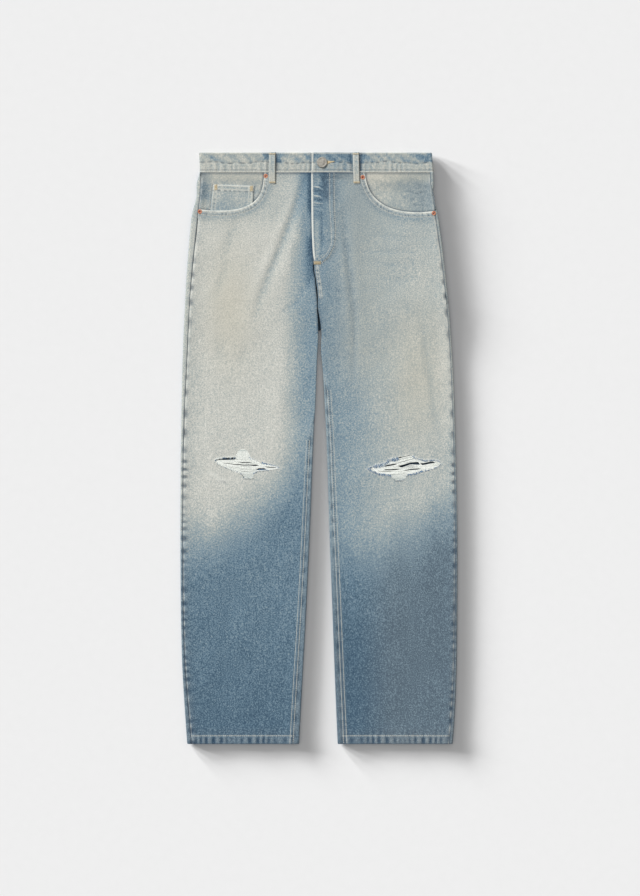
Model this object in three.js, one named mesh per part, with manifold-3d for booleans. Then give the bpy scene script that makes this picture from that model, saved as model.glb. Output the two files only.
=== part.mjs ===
// Ripped straight-leg jeans, laid flat with the front up.
//
// Every cloth piece is a closed wall with the garment's own shape. The back panels lie on the floor
// and fold over both edges of each leg, so the side seam and the inseam run a little inside the
// outline, as they do on real jeans. The front panels lie on top, with the rips cut through them.
// X runs across the body, +X on the wearer's left. +Y points to the waist, and Z is up.
// All lengths are in millimetres.

import * as THREE from "three";
import { mergeVertices } from "three/addons/utils/BufferGeometryUtils.js";
import Module from "manifold-3d";

const wasm = await Module();
wasm.setup();

// ---- Driving dimensions ------------------------------------------------------------------------

const DENIM = 1.2; // one ply of washed denim
const BAND = 2.4; // waistband, two plies
const GAP = 0.3; // air between neighbouring pieces

const WAIST_TOP = 531; // upper edge of the waistband
const WAIST_SEAM = 495; // where the waistband meets the panels
const CROTCH = 290;
const LEGS_PART = 212; // below this the inner edges of the legs separate
const HEM = -531;

const LEG_LOFT = 3.2; // underside of the front panels on the legs
const SEAT_LOFT = 6.0; // the same on the hips, above the pocket pieces
const SEAT_LIFT = 1.5; // underside of the back panels where pockets and loops lie beneath
const SEAT_FROM = 190; // the loft grows between these two heights
const SEAT_TO = 250;

const YOKE_CENTRE = 425; // yoke seam at the centre back
const YOKE_SIDE = 455; // yoke seam at the side seam

// ---- Small maths -------------------------------------------------------------------------------

const mix = (a, b, t) => a + (b - a) * t;

function ramp(value, from, to) {
  const t = THREE.MathUtils.clamp((value - from) / (to - from), 0, 1);
  return t * t * (3 - 2 * t);
}

// A smooth curve x(y) through a few [y, x] points that run from the waist down to the hem.
function through(points) {
  const slope = points.map((_, i) => {
    const before = points[Math.max(i - 1, 0)];
    const after = points[Math.min(i + 1, points.length - 1)];
    return (after[1] - before[1]) / (after[0] - before[0]);
  });
  return (y) => {
    let i = 0;
    while (i < points.length - 2 && y < points[i + 1][0]) i += 1;
    const [y0, x0] = points[i];
    const [y1, x1] = points[i + 1];
    const span = y1 - y0;
    const t = THREE.MathUtils.clamp((y - y0) / span, 0, 1);
    const a = 2 * t ** 3 - 3 * t ** 2 + 1;
    const b = t ** 3 - 2 * t ** 2 + t;
    const c = -2 * t ** 3 + 3 * t ** 2;
    const d = t ** 3 - t ** 2;
    return a * x0 + b * span * slope[i] + c * x1 + d * span * slope[i + 1];
  };
}

// ---- The garment's outline ---------------------------------------------------------------------

// Centre front: waistband, fly, rise seam, and the line where the thighs touch.
const centreFront = through([
  [531, -13], [446, -11.2], [374, -9.4], [330, -6.4], [290, -5.5], [262, -5.2], [235, -3.8], [212, -0.4],
]);

const RIGHT = {
  name: "right",
  side: -1,
  outer: through([
    [531, -216], [495, -214.8], [478, -219.6], [440, -226], [374, -233.6], [266, -241], [122, -246.6],
    [-94, -249.4], [-274, -248.9], [-400, -246], [-470, -241.6], [-531, -237.4],
  ]),
  inner: through([
    [212, -0.7], [158, -3.6], [86, -6.2], [-22, -11], [-166, -16.6], [-310, -23.4], [-418, -29.4],
    [-531, -35.4],
  ]),
  outseamWrap: through([
    [495, 6], [455, 11], [400, 11.5], [300, 10], [160, 9], [40, 6.2], [-94, 5.6], [-350, 5.8], [-531, 9],
  ]),
  inseamWrap: through([[212, 4], [20, 5], [-200, 7], [-531, 9]]),
  scoop: [[-98, 495], [-98, 440], [-125, 418], [-214.5, 427.5]],
};

const LEFT = {
  name: "left",
  side: 1,
  outer: through([
    [531, 203], [495, 206], [464, 208], [428, 213], [374, 221], [302, 229], [230, 236], [122, 242.4],
    [-22, 246.8], [-166, 249.4], [-310, 249], [-418, 247.4], [-490, 244], [-531, 240.8],
  ]),
  inner: through([
    [212, 0.1], [158, 5.2], [86, 9.4], [14, 13.2], [-130, 17.8], [-274, 23], [-418, 28.4], [-531, 33.2],
  ]),
  outseamWrap: through([
    [495, 11], [455, 5.4], [428, 6.4], [300, 5.4], [100, 5], [-150, 5], [-400, 6], [-531, 7.4],
  ]),
  inseamWrap: through([[212, 4], [20, 5.4], [-200, 7.4], [-531, 9]]),
  scoop: [[82, 495], [86, 440], [130, 415], [206.4, 424.4]],
};

// Heights of the two layers: the underside of the cloth at a height y on the garment.
const backFloor = (y) => SEAT_LIFT * ramp(y, SEAT_FROM, SEAT_TO);
const frontFloor = (y) => mix(LEG_LOFT, SEAT_LOFT, ramp(y, SEAT_FROM, SEAT_TO));

// Heights at which the panels of a leg are given points, below the crotch.
const CROTCH_FADE = 25; // the inseam leaves the rise seam over this length
const LEG_ROWS = [
  CROTCH - CROTCH_FADE, 240, 212, 175, 130, 80, 30, -20, -70, -120, -180, -250, -320, -390, -455, -500, HEM,
];

// Edge of a leg on the inner side: the shared centre line above, its own edge below.
function innerEdge(leg, y) {
  return y > LEGS_PART ? centreFront(y) + leg.side * (GAP / 2) : leg.inner(y);
}

// ---- Closed walls ------------------------------------------------------------------------------

// A sheet is { points, quads }: points on the middle of the cloth, and quads that index them and
// run anticlockwise seen from its upper side. The wall moves every point half a thickness both
// ways along the sheet's normal, and closes each free edge with a strip.
function wall({ points, quads }, thickness) {
  const normals = points.map(() => new THREE.Vector3());
  for (const [a, b, c, d] of quads) {
    const across = new THREE.Vector3().subVectors(points[c], points[a]);
    const down = new THREE.Vector3().subVectors(points[d], points[b]);
    const normal = across.cross(down).normalize();
    for (const corner of [a, b, c, d]) normals[corner].add(normal);
  }
  const offset = (way) => points.map((p, i) => {
    return p.clone().addScaledVector(normals[i].normalize(), (way * thickness) / 2);
  });
  const positions = [...offset(1), ...offset(-1)].flatMap((p) => p.toArray());
  const under = points.length;
  const index = [];
  const edges = new Map();
  for (const [a, b, c, d] of quads) {
    index.push(a, b, c, a, c, d);
    index.push(under + a, under + c, under + b, under + a, under + d, under + c);
    for (const [from, to] of [[a, b], [b, c], [c, d], [d, a]]) {
      if (!edges.delete(`${to} ${from}`)) edges.set(`${from} ${to}`, [from, to]);
    }
  }
  for (const [from, to] of edges.values()) {
    index.push(from, under + from, under + to, from, under + to, to);
  }
  return tidy(new Float32Array(positions), index);
}

// A geometry without the points that no face uses.
function tidy(positions, index) {
  const geometry = new THREE.BufferGeometry();
  geometry.setAttribute("position", new THREE.BufferAttribute(positions, 3));
  geometry.setIndex(index);
  return mergeVertices(geometry.toNonIndexed(), 1e-4);
}

// A sheet on a grid of rows and columns. pointAt(row, column) gives the middle of the cloth, and
// holds(row, column) says whether the cell that starts there is cloth.
function gridSheet(rows, columns, pointAt, holds = () => true) {
  const points = [];
  const quads = [];
  const at = (row, column) => row * (columns + 1) + column;
  for (let row = 0; row <= rows; row += 1) {
    for (let column = 0; column <= columns; column += 1) points.push(pointAt(row, column));
  }
  for (let row = 0; row < rows; row += 1) {
    for (let column = 0; column < columns; column += 1) {
      if (!holds(row, column)) continue;
      quads.push([at(row, column), at(row + 1, column), at(row + 1, column + 1), at(row, column + 1)]);
    }
  }
  return { points, quads };
}

// The same sheet facing the other way, for a grid whose columns run from right to left.
function turned({ points, quads }) {
  return { points, quads: quads.map(([a, b, c, d]) => [a, d, c, b]) };
}

// A flat plate with the given outline, from z = base up to z = base + thickness.
function plate(outline, base, thickness) {
  const shape = new THREE.Shape(outline.map(([x, y]) => new THREE.Vector2(x, y)));
  const geometry = new THREE.ExtrudeGeometry(shape, { depth: thickness, bevelEnabled: false });
  return geometry.translate(0, 0, base);
}

// ---- Booleans ----------------------------------------------------------------------------------

function toSolid(geometry) {
  const bare = new THREE.BufferGeometry();
  bare.setAttribute("position", geometry.getAttribute("position"));
  bare.setIndex(geometry.getIndex());
  const merged = mergeVertices(bare, 1e-4);
  const mesh = new wasm.Mesh({
    numProp: 3,
    vertProperties: merged.getAttribute("position").array,
    triVerts: new Uint32Array(merged.getIndex().array),
  });
  return new wasm.Manifold(mesh);
}

function fromSolid(solid) {
  const { vertProperties, triVerts } = solid.getMesh();
  const geometry = new THREE.BufferGeometry();
  geometry.setAttribute("position", new THREE.BufferAttribute(new Float32Array(vertProperties), 3));
  geometry.setIndex([...triVerts]);
  return geometry;
}

// ---- Front panels ------------------------------------------------------------------------------

const FRONT_ROWS = [495, 470, 445, 420, 395, 365, 335, 310, CROTCH, ...LEG_ROWS];
const FRONT_COLUMNS = 12;
const WAIST_COLUMNS = 5; // columns that start on the waist seam; the rest start on the pocket scoop
const SCOOP_REACH = 250; // rows lie level this far below the waist
const SCOOP_SPREAD = 170; // columns are evenly spread this far below the scoop
const outseam = (leg, y) => leg.outer(y) - leg.side * (leg.outseamWrap(y) + GAP);

function frontInner(leg, y) {
  const wrap = (leg.inseamWrap(y) + GAP / 2) * ramp(CROTCH - y, 0, CROTCH_FADE);
  return innerEdge(leg, y) + leg.side * (wrap + GAP / 2);
}

// Where a column starts: along the waist seam, then down the curve of the pocket mouth.
function columnTop(leg, column) {
  const waist = WAIST_SEAM - GAP;
  const [start, pullA, pullB, end] = leg.scoop;
  if (column <= WAIST_COLUMNS) {
    const share = column / WAIST_COLUMNS;
    return new THREE.Vector2(mix(frontInner(leg, waist), start[0], share), waist);
  }
  const corners = [start, pullA, pullB, end].map(([x, y]) => new THREE.Vector2(x, y));
  const mouth = new THREE.CubicBezierCurve(...corners);
  return mouth.getPoint((column - WAIST_COLUMNS) / (FRONT_COLUMNS - WAIST_COLUMNS));
}

// The largest folds of the thighs, as soft ridges from one point to another.
const FOLD_HEIGHT = 1.2;
const FOLD_REACH = 20;
const FOLDS = [
  [[-34, 470], [-92, 250]],
  [[-62, 200], [-84, -10]],
  [[34, 440], [44, 270]],
  [[76, 300], [84, 60]],
];

function foldRise(x, y) {
  let rise = 0;
  for (const [start, end] of FOLDS) {
    const from = new THREE.Vector2(...start);
    const along = new THREE.Vector2(...end).sub(from);
    const here = new THREE.Vector2(x, y).sub(from);
    const share = THREE.MathUtils.clamp(here.dot(along) / along.lengthSq(), 0, 1);
    const away = here.addScaledVector(along, -share).length();
    rise += FOLD_HEIGHT * Math.sin(Math.PI * share) * Math.exp(-((away / FOLD_REACH) ** 2));
  }
  return rise;
}

function frontPoint(leg, row, column) {
  const top = columnTop(leg, column);
  const level = Math.min(FRONT_ROWS[row], WAIST_SEAM - GAP);
  const fallen = 1 - ramp(WAIST_SEAM - level, 0, SCOOP_REACH);
  const y = level - (WAIST_SEAM - GAP - top.y) * fallen;
  const acrossAt = (height, share) => mix(frontInner(leg, height), outseam(leg, height), share);
  const topShare = (top.x - acrossAt(top.y, 0)) / (acrossAt(top.y, 1) - acrossAt(top.y, 0));
  const share = mix(topShare, column / FRONT_COLUMNS, ramp(top.y - y, 0, SCOOP_SPREAD));
  const x = acrossAt(y, share);
  return new THREE.Vector3(x, y, frontFloor(y) + DENIM / 2 + foldRise(x, y));
}

// The rips, as closed curves a little inside the frayed edge.
const RIPS = {
  right: [
    [-181, -19], [-150, -17.5], [-126, -18.5], [-110, -24], [-92, -29], [-78, -35], [-90, -39], [-108, -41],
    [-117, -53], [-134, -54], [-143, -45], [-163, -37], [-181, -29],
  ],
  left: [
    [106, -33], [126, -26], [146, -17], [166, -14], [184, -21], [204, -24], [204, -38], [180, -43],
    [156, -50], [138, -57], [124, -50], [106, -44],
  ],
};

// Cuts a rip through a front panel.
function ripThrough(panel, outline) {
  const curve = new THREE.SplineCurve([...outline, outline[0]].map(([x, y]) => new THREE.Vector2(x, y)));
  const steps = outline.length * 2;
  const ring = curve.getPoints(steps).slice(0, steps).map((p) => [p.x, p.y]);
  const cutter = toSolid(plate(ring, 0, SEAT_LOFT));
  return fromSolid(toSolid(panel).subtract(cutter));
}

function frontPanel(leg) {
  const pointAt = (row, column) => frontPoint(leg, row, column);
  const sheet = gridSheet(FRONT_ROWS.length - 1, FRONT_COLUMNS, pointAt);
  const facing = leg.side > 0 ? sheet : turned(sheet);
  return ripThrough(wall(facing, DENIM), RIPS[leg.name]);
}

// ---- Back panels and yokes ---------------------------------------------------------------------

// The section of the back layer at one height: up from the inseam, over the inner fold, along the
// floor, over the outer fold, and on to the side seam. Above the crotch the inner part is missing.
const FOLD_STEPS = 3;
const FLOOR_STEPS = 6;
const FLOOR_START = FOLD_STEPS + 1; // column where the flat part starts
const FLOOR_END = FLOOR_START + FLOOR_STEPS;
const BACK_COLUMNS = FLOOR_END + FOLD_STEPS + 1;

function backSection(leg, y) {
  const low = backFloor(y) + DENIM / 2;
  const high = frontFloor(y) + DENIM / 2;
  const radius = (high - low) / 2;
  const inset = radius + DENIM / 2;
  const outer = leg.outer(y);
  const inner = innerEdge(leg, y);
  const outerTurn = outer - leg.side * inset;
  const innerTurn = inner + leg.side * inset;
  const foldPoint = (centre, way, angle) => {
    return [centre + way * radius * Math.cos(angle), (low + high) / 2 + radius * Math.sin(angle)];
  };
  const wrapped = inner + leg.side * Math.max(leg.inseamWrap(y), inset + 0.5);
  const section = [[wrapped, high]];
  for (let i = 0; i < FOLD_STEPS; i += 1) {
    section.push(foldPoint(innerTurn, -leg.side, Math.PI * (0.5 - i / FOLD_STEPS)));
  }
  const floorStart = y > CROTCH ? inner : innerTurn;
  for (let i = 0; i <= FLOOR_STEPS; i += 1) section.push([mix(floorStart, outerTurn, i / FLOOR_STEPS), low]);
  for (let i = 1; i <= FOLD_STEPS; i += 1) {
    section.push(foldPoint(outerTurn, leg.side, Math.PI * (i / FOLD_STEPS - 0.5)));
  }
  section.push([outer - leg.side * Math.max(leg.outseamWrap(y), inset + 0.5), high]);
  return section;
}

// Height of the yoke seam across the back: lowest at the centre.
function yokeSeam(leg, column) {
  const share = THREE.MathUtils.clamp((column - FLOOR_START) / FLOOR_STEPS, 0, 1);
  return mix(YOKE_CENTRE, YOKE_SIDE, share);
}

// A sheet of the back layer on rows of heights. heightAt(row, column) bends a row to follow a seam.
function backSheet(leg, rowCount, heightAt) {
  const pointAt = (row, column) => {
    const y = heightAt(row, column);
    const [x, z] = backSection(leg, y)[column];
    return new THREE.Vector3(x, y, z);
  };
  const holds = (row, column) => {
    return column >= FLOOR_START || heightAt(row, column) <= CROTCH - CROTCH_FADE;
  };
  const sheet = gridSheet(rowCount, BACK_COLUMNS, pointAt, holds);
  return leg.side > 0 ? turned(sheet) : sheet;
}

const BACK_ROWS = [455, 420, 385, 350, 320, CROTCH, ...LEG_ROWS];
const YOKE_REACH = 105; // the back panel's rows lie level this far below its top

function backPanel(leg) {
  const heightAt = (row, column) => {
    const level = BACK_ROWS[row];
    const dip = (YOKE_SIDE - yokeSeam(leg, column)) * (1 - ramp(YOKE_SIDE - level, 0, YOKE_REACH));
    return level - dip - (row === 0 ? GAP / 2 : 0);
  };
  return wall(backSheet(leg, BACK_ROWS.length - 1, heightAt), DENIM);
}

const YOKE_ROWS = 2;

function yoke(leg) {
  const heightAt = (row, column) => {
    return mix(WAIST_SEAM - GAP, yokeSeam(leg, column) + GAP / 2, row / YOKE_ROWS);
  };
  return wall(backSheet(leg, YOKE_ROWS, heightAt), DENIM);
}

// ---- Waistband ---------------------------------------------------------------------------------

// One strip that starts under the button, runs round the wearer's right side and the back, and
// comes home over its own start. The path is [x, z], and x is stretched to the outline of each row.
const BAND_BACK = SEAT_LIFT + BAND / 2; // middle of the back run
const BAND_FRONT = SEAT_LOFT + DENIM / 2; // middle of the front run
const BAND_LAP = BAND_FRONT + BAND + GAP; // middle of the overlap
const BAND_HALF = 210; // half the flat waist, along the path
const LAP_END = -13; // free end, at the centre front
const LAP_LIE = 30; // the overlap is level up to here
const LAP_RISE = 62; // and reaches the front run here
const UNDERLAP_END = 24;

function bandPath() {
  const radius = (BAND_FRONT - BAND_BACK) / 2;
  const turn = BAND_HALF - BAND / 2 - radius;
  const path = [[UNDERLAP_END, BAND_FRONT], [0, BAND_FRONT]];
  for (const share of [0.25, 0.5, 0.75]) path.push([-turn * share, BAND_FRONT]);
  const foldSteps = 5;
  for (let i = 0; i <= foldSteps; i += 1) {
    const angle = Math.PI * (0.5 + i / foldSteps);
    path.push([-turn + radius * Math.cos(angle), (BAND_FRONT + BAND_BACK) / 2 + radius * Math.sin(angle)]);
  }
  for (const share of [-0.6, -0.2, 0.2, 0.6]) path.push([turn * share, BAND_BACK]);
  for (let i = 0; i <= foldSteps; i += 1) {
    const angle = Math.PI * (i / foldSteps - 0.5);
    path.push([turn + radius * Math.cos(angle), (BAND_FRONT + BAND_BACK) / 2 + radius * Math.sin(angle)]);
  }
  path.push([turn * 0.65, BAND_FRONT], [LAP_RISE, BAND_FRONT]);
  path.push([mix(LAP_RISE, LAP_LIE, 0.5), (BAND_FRONT + BAND_LAP) / 2]);
  path.push([LAP_LIE, BAND_LAP], [LAP_END, BAND_LAP]);
  return path;
}

function waistband() {
  const path = bandPath();
  const rows = [WAIST_TOP, (WAIST_TOP + WAIST_SEAM) / 2, WAIST_SEAM];
  const pointAt = (row, column) => {
    const y = rows[row];
    const middle = (RIGHT.outer(y) + LEFT.outer(y)) / 2;
    const half = (LEFT.outer(y) - RIGHT.outer(y)) / 2;
    const [x, z] = path[column];
    const edgeShare = Math.min(Math.abs(x) / BAND_HALF, 1) ** 2;
    return new THREE.Vector3(mix(x, middle + (x * half) / BAND_HALF, edgeShare), y, z);
  };
  return wall(turned(gridSheet(rows.length - 1, path.length - 1, pointAt)), BAND);
}

// ---- Pockets -----------------------------------------------------------------------------------

const FACING_FLOOR = SEAT_LIFT + DENIM + GAP;
const COIN_FLOOR = FACING_FLOOR + DENIM + GAP;
const FACING_TUCK = 16; // how far the facing reaches under the front panel

// The denim that shows inside a front pocket's mouth. It is sewn in at the waist and side seams.
function pocketFacing(leg) {
  const [start, pullA, pullB, end] = leg.scoop;
  const corners = [start, pullA, pullB, end].map(([x, y]) => new THREE.Vector2(x, y));
  const mouth = new THREE.CubicBezierCurve(...corners).getPoints(8);
  const top = WAIST_SEAM - GAP;
  const tucked = mouth.map((p) => {
    const down = (top - p.y) / (top - end[1]);
    return [p.x - leg.side * FACING_TUCK, p.y - FACING_TUCK * down];
  });
  tucked[0][1] = top;
  const side = [435, 455, 475, top].map((y) => [sideOfFacing(leg, y), y]);
  tucked[tucked.length - 1][0] = sideOfFacing(leg, tucked[tucked.length - 1][1]);
  return plate([...tucked, ...side], FACING_FLOOR, DENIM);
}

// The facing stops just inside the outer fold of the back layer.
function sideOfFacing(leg, y) {
  const fold = (SEAT_LOFT - SEAT_LIFT) / 2 + DENIM;
  return leg.outer(y) - leg.side * (Math.max(leg.outseamWrap(y), fold + 0.5) + GAP);
}

const COIN_POCKET = [[-189.4, 474], [-117.8, 471], [-121.6, 424], [-158, 416], [-195, 420]];

// Back pockets, under the seat: a straight mouth and a pointed foot.
const BACK_POCKET = [[-76, 0], [76, 0], [68, -142], [0, -168], [-68, -142]];
const BACK_POCKET_X = 108; // centre of the pocket's mouth from the centre back
const BACK_POCKET_Y = 425;
const BACK_POCKET_TILT = 0.05;

function backPocket(leg) {
  const outline = BACK_POCKET.map(([x, y]) => {
    const p = new THREE.Vector2(x, y).rotateAround(new THREE.Vector2(), leg.side * BACK_POCKET_TILT);
    return [p.x + centreFront(CROTCH) + leg.side * BACK_POCKET_X, p.y + BACK_POCKET_Y];
  });
  return plate(outline, 0, DENIM);
}

// ---- Belt loops --------------------------------------------------------------------------------

const LOOP_WIDTH = 12;
const LOOP_THICK = 1.6;
const LOOP_TOP = 530.5;
const LOOP_FOOT = 473.5;

// A front loop is tacked at the top of the waistband, bows over it and is tacked below the seam.
// base is the height of the waistband's middle under it.
function frontLoop(xTop, xFoot) {
  const onBand = BAND_FRONT + BAND / 2 + GAP + LOOP_THICK / 2;
  const onPanel = SEAT_LOFT + DENIM + GAP + LOOP_THICK / 2;
  const bow = 1.2;
  const path = [
    [LOOP_TOP, onBand], [524, onBand + 0.3], [515, onBand + bow], [505, onBand + bow], [496, onBand + 0.5],
    [489, onPanel + 0.9], [483, onPanel + 0.1], [LOOP_FOOT, onPanel],
  ];
  const pointAt = (row, column) => {
    const [y, z] = path[row];
    const x = mix(xFoot, xTop, (y - LOOP_FOOT) / (LOOP_TOP - LOOP_FOOT));
    return new THREE.Vector3(x + (column - 0.5) * LOOP_WIDTH, y, z);
  };
  return wall(gridSheet(path.length - 1, 1, pointAt), LOOP_THICK);
}

// A back loop lies pressed flat between the waistband and the floor.
function backLoop(x) {
  const half = LOOP_WIDTH / 2;
  const outline = [[x - half, LOOP_FOOT], [x + half, LOOP_FOOT], [x + half, LOOP_TOP], [x - half, LOOP_TOP]];
  return plate(outline, 0, SEAT_LIFT - GAP);
}

// ---- Hardware ----------------------------------------------------------------------------------

const BUTTON_RADIUS = 9.6;
const BUTTON_AT = [5.4, 512.8];
const RIVET_RADIUS = 4.3;

// A turned piece on the Z axis from a profile of [radius, height].
function turnedPiece(profile, segments) {
  const geometry = new THREE.LatheGeometry(profile.map(([r, h]) => new THREE.Vector2(r, h)), segments);
  return geometry.rotateX(Math.PI / 2);
}

function button() {
  const foot = BAND_LAP + BAND / 2 + GAP;
  const r = BUTTON_RADIUS;
  const profile = [
    [0, 0], [3.6, 0], [3.2, 0.8], [r - 0.8, 1.0], [r, 1.8],
    [r - 0.5, 2.8], [r - 2.2, 3.1], [r - 3, 2.7], [0, 2.7],
  ];
  return turnedPiece(profile, 28).translate(BUTTON_AT[0], BUTTON_AT[1], foot);
}

function rivet([x, y]) {
  const foot = SEAT_LOFT + DENIM + GAP;
  const r = RIVET_RADIUS;
  const profile = [[0, 0], [r, 0], [r * 0.9, 0.7], [r * 0.5, 1.0], [r * 0.3, 1.3], [0, 1.4]];
  return turnedPiece(profile, 16).translate(x, y, foot);
}

// ---- Threads across the rips -------------------------------------------------------------------

// Weft bundles that bridge a rip, joined at both ends where they are still woven in.
const THREADS = {
  right: { from: -189, to: -70, high: -20, low: -52, tilt: -8 },
  left: { from: 97, to: 213, high: -22, low: -54, tilt: 8 },
};
const BUNDLES = 5;
const BUNDLE_SHARE = 0.68; // share of the pitch that is thread
const THREAD_COLUMNS = 8;
const THREAD_THICK = 1.0;

function ripThreads({ from, to, high, low, tilt }) {
  const rows = BUNDLES * 2 - 1;
  const pitch = (high - low) / (BUNDLES - 1 + BUNDLE_SHARE);
  const middle = LEG_LOFT - GAP - THREAD_THICK / 2;
  const pointAt = (row, column) => {
    const share = column / THREAD_COLUMNS;
    const down = Math.floor(row / 2) * pitch + (row % 2) * pitch * BUNDLE_SHARE;
    const squeeze = mix(0.62, 1, Math.sin(Math.PI * share)); // the bundles draw together at their ends
    const y = (high + low) / 2 + ((high - low) / 2 - down) * squeeze + tilt * (share - 0.5);
    return new THREE.Vector3(mix(from, to, share), y, middle);
  };
  const holds = (row, column) => row % 2 === 0 || column === 0 || column === THREAD_COLUMNS - 1;
  return wall(gridSheet(rows, THREAD_COLUMNS, pointAt, holds), THREAD_THICK);
}

// ---- Assembly ----------------------------------------------------------------------------------

const finish = (color, roughness = 0.9, metalness = 0) => ({ color, roughness, metalness });
const FINISHES = {
  denim: finish(0x9fb0b8),
  darkDenim: finish(0x6d8aa3),
  sandDenim: finish(0xc6c5ba),
  cotton: finish(0xe6eae2),
  buttonMetal: finish(0xa9a59e, 0.45, 0.8),
  copper: finish(0xb5695a, 0.4, 0.9),
};

const jeans = new THREE.Group();

function add(name, geometry, look) {
  const mesh = new THREE.Mesh(geometry, new THREE.MeshStandardMaterial(look));
  mesh.name = name;
  jeans.add(mesh);
}

for (const leg of [RIGHT, LEFT]) {
  add(`back_${leg.name}`, backPanel(leg), FINISHES.darkDenim);
  add(`yoke_${leg.name}`, yoke(leg), FINISHES.denim);
  add(`back_pocket_${leg.name}`, backPocket(leg), FINISHES.denim);
  add(`front_${leg.name}`, frontPanel(leg), FINISHES.sandDenim);
  add(`pocket_facing_${leg.name}`, pocketFacing(leg), FINISHES.denim);
  add(`rip_threads_${leg.name}`, ripThreads(THREADS[leg.name]), FINISHES.cotton);
}

add("coin_pocket", plate(COIN_POCKET, COIN_FLOOR, DENIM), FINISHES.denim);
add("waistband", waistband(), FINISHES.denim);
add("belt_loop_front_right", frontLoop(-84, -84), FINISHES.sandDenim);
add("belt_loop_front_left", frontLoop(66, 67.6), FINISHES.sandDenim);
add("belt_loop_back_right", backLoop(-130), FINISHES.denim);
add("belt_loop_back_centre", backLoop(-5), FINISHES.denim);
add("belt_loop_back_left", backLoop(120), FINISHES.denim);
add("button", button(), FINISHES.buttonMetal);

const RIVETS = {
  rivet_right_waist: [-95.6, 488.6],
  rivet_right_side: [-214, 424.6],
  rivet_left_waist: [78.6, 486.4],
  rivet_left_side: [206.2, 421.8],
};
for (const [name, place] of Object.entries(RIVETS)) add(name, rivet(place), FINISHES.copper);

export default jeans;
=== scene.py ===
# %% [markdown]
# # Ripped jeans, laid flat
# A pair of loose straight jeans lies on its back on a pale floor, fastened, with the front up. The cut
# is a plain five-pocket one: two front panels, two back panels with yokes, a waistband in one strip,
# scooped front pockets with a coin pocket on the wearer's right, and a torn knee on each leg.
#
# The CAD part gives the outline of every panel. Each panel is made again here as a thin shell on that
# outline, with its seams, puckers, folds and frayed holes.

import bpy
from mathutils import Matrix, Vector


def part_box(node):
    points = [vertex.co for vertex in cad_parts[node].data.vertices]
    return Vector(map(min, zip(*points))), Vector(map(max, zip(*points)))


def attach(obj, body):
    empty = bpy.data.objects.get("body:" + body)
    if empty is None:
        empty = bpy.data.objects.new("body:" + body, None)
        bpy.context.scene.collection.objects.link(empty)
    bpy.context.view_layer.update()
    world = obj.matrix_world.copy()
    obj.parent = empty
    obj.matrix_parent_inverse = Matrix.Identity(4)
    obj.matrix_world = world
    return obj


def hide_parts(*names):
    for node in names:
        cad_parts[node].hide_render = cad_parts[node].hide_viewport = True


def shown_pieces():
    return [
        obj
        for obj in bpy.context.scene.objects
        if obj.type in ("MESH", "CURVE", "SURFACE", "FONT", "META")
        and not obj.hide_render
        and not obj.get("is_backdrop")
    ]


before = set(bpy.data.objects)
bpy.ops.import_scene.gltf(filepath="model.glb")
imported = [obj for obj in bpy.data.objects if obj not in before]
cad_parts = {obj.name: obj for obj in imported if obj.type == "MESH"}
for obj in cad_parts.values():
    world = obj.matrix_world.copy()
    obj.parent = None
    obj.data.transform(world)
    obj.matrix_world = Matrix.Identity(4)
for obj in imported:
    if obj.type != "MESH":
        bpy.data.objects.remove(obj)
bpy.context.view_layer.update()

import math
from types import SimpleNamespace

import bpy
import numpy as np

print("CAD nodes:", len(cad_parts))

# %% [markdown]
# ## Sizes
# All lengths below are millimetres, and the meshes are turned into metres when they are made. Washed
# denim of about 13 ounces is 1.2 mm thick with its nap. The layers stack up like this on the hips:
# back panel, pocket facing, coin pocket, front panel. On the legs there are only two layers.

# %% Named sizes
MM = 0.001
DENIM = 1.2
BAND = 2.4  # waistband, two plies

WAIST_TOP = 531.0
WAIST_SEAM = 495.0
LEGS_PART = 212.0  # the inner edges of the legs separate below this
HEM = -531.0

LEG_HEIGHT = 4.0  # middle of the front cloth on the legs
HIP_HEIGHT = 7.2
HEM_RISE = 1.1  # the turned hems make the bottom thicker
EDGE_RISE = 1.2  # the side folds stand a little higher than the middle of a leg
BACK_HEIGHT = 0.9  # middle of the back cloth on the legs
SEAT_HEIGHT = 2.2  # the same above the back pockets
FACING_HEIGHT = 4.5
COIN_HEIGHT = 5.8
BAND_FRONT = 7.8
BAND_BACK = 2.7
BAND_LAP = 10.5

STITCH_PITCH = 3.4
STITCH_LONG = 2.7
STITCH_THICK = 1.0

print("front cloth at", LEG_HEIGHT, "mm on the legs and", HIP_HEIGHT, "mm on the hips")

# %% [markdown]
# ## Small maths
# A few functions do all the shaping: a soft step, a smooth curve through measured points, the distance
# to a seam, and two kinds of waviness. Ripple is the waviness of cloth that a seam has drawn up. Rolling
# is the slow unevenness of cloth that was dropped and smoothed by hand.


# %% Maths for cloth
def smooth(value, start, end):
    """0 before start, 1 after end, and t * t * (3 - 2 t) between, where t is the share of the way."""
    t = np.clip((value - start) / (end - start), 0.0, 1.0)
    return t * t * (3 - 2 * t)


def mix(a, b, t):
    """a at t = 0 and b at t = 1, in a straight line."""
    return a + (b - a) * t


def bell(distance, reach):
    """exp of minus (distance / reach) squared: 1 on the line, near 0 past twice the reach."""
    return np.exp(-((distance / reach) ** 2))


def through(heights, values):
    """A cubic curve value(y) through the points, whose slope at each one is that of its neighbours."""
    heights = np.asarray(heights, float)
    order = np.argsort(heights)
    heights, values = heights[order], np.asarray(values, float)[order]
    slopes = np.gradient(values, heights)

    def curve(y):
        y = np.clip(np.asarray(y, float), heights[0], heights[-1])
        i = np.clip(np.searchsorted(heights, y) - 1, 0, len(heights) - 2)
        span = heights[i + 1] - heights[i]
        t = (y - heights[i]) / span
        start = (2 * t**3 - 3 * t**2 + 1) * values[i] + (t**3 - 2 * t**2 + t) * span * slopes[i]
        end = (3 * t**2 - 2 * t**3) * values[i + 1] + (t**3 - t**2) * span * slopes[i + 1]
        return start + end

    return curve


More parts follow.
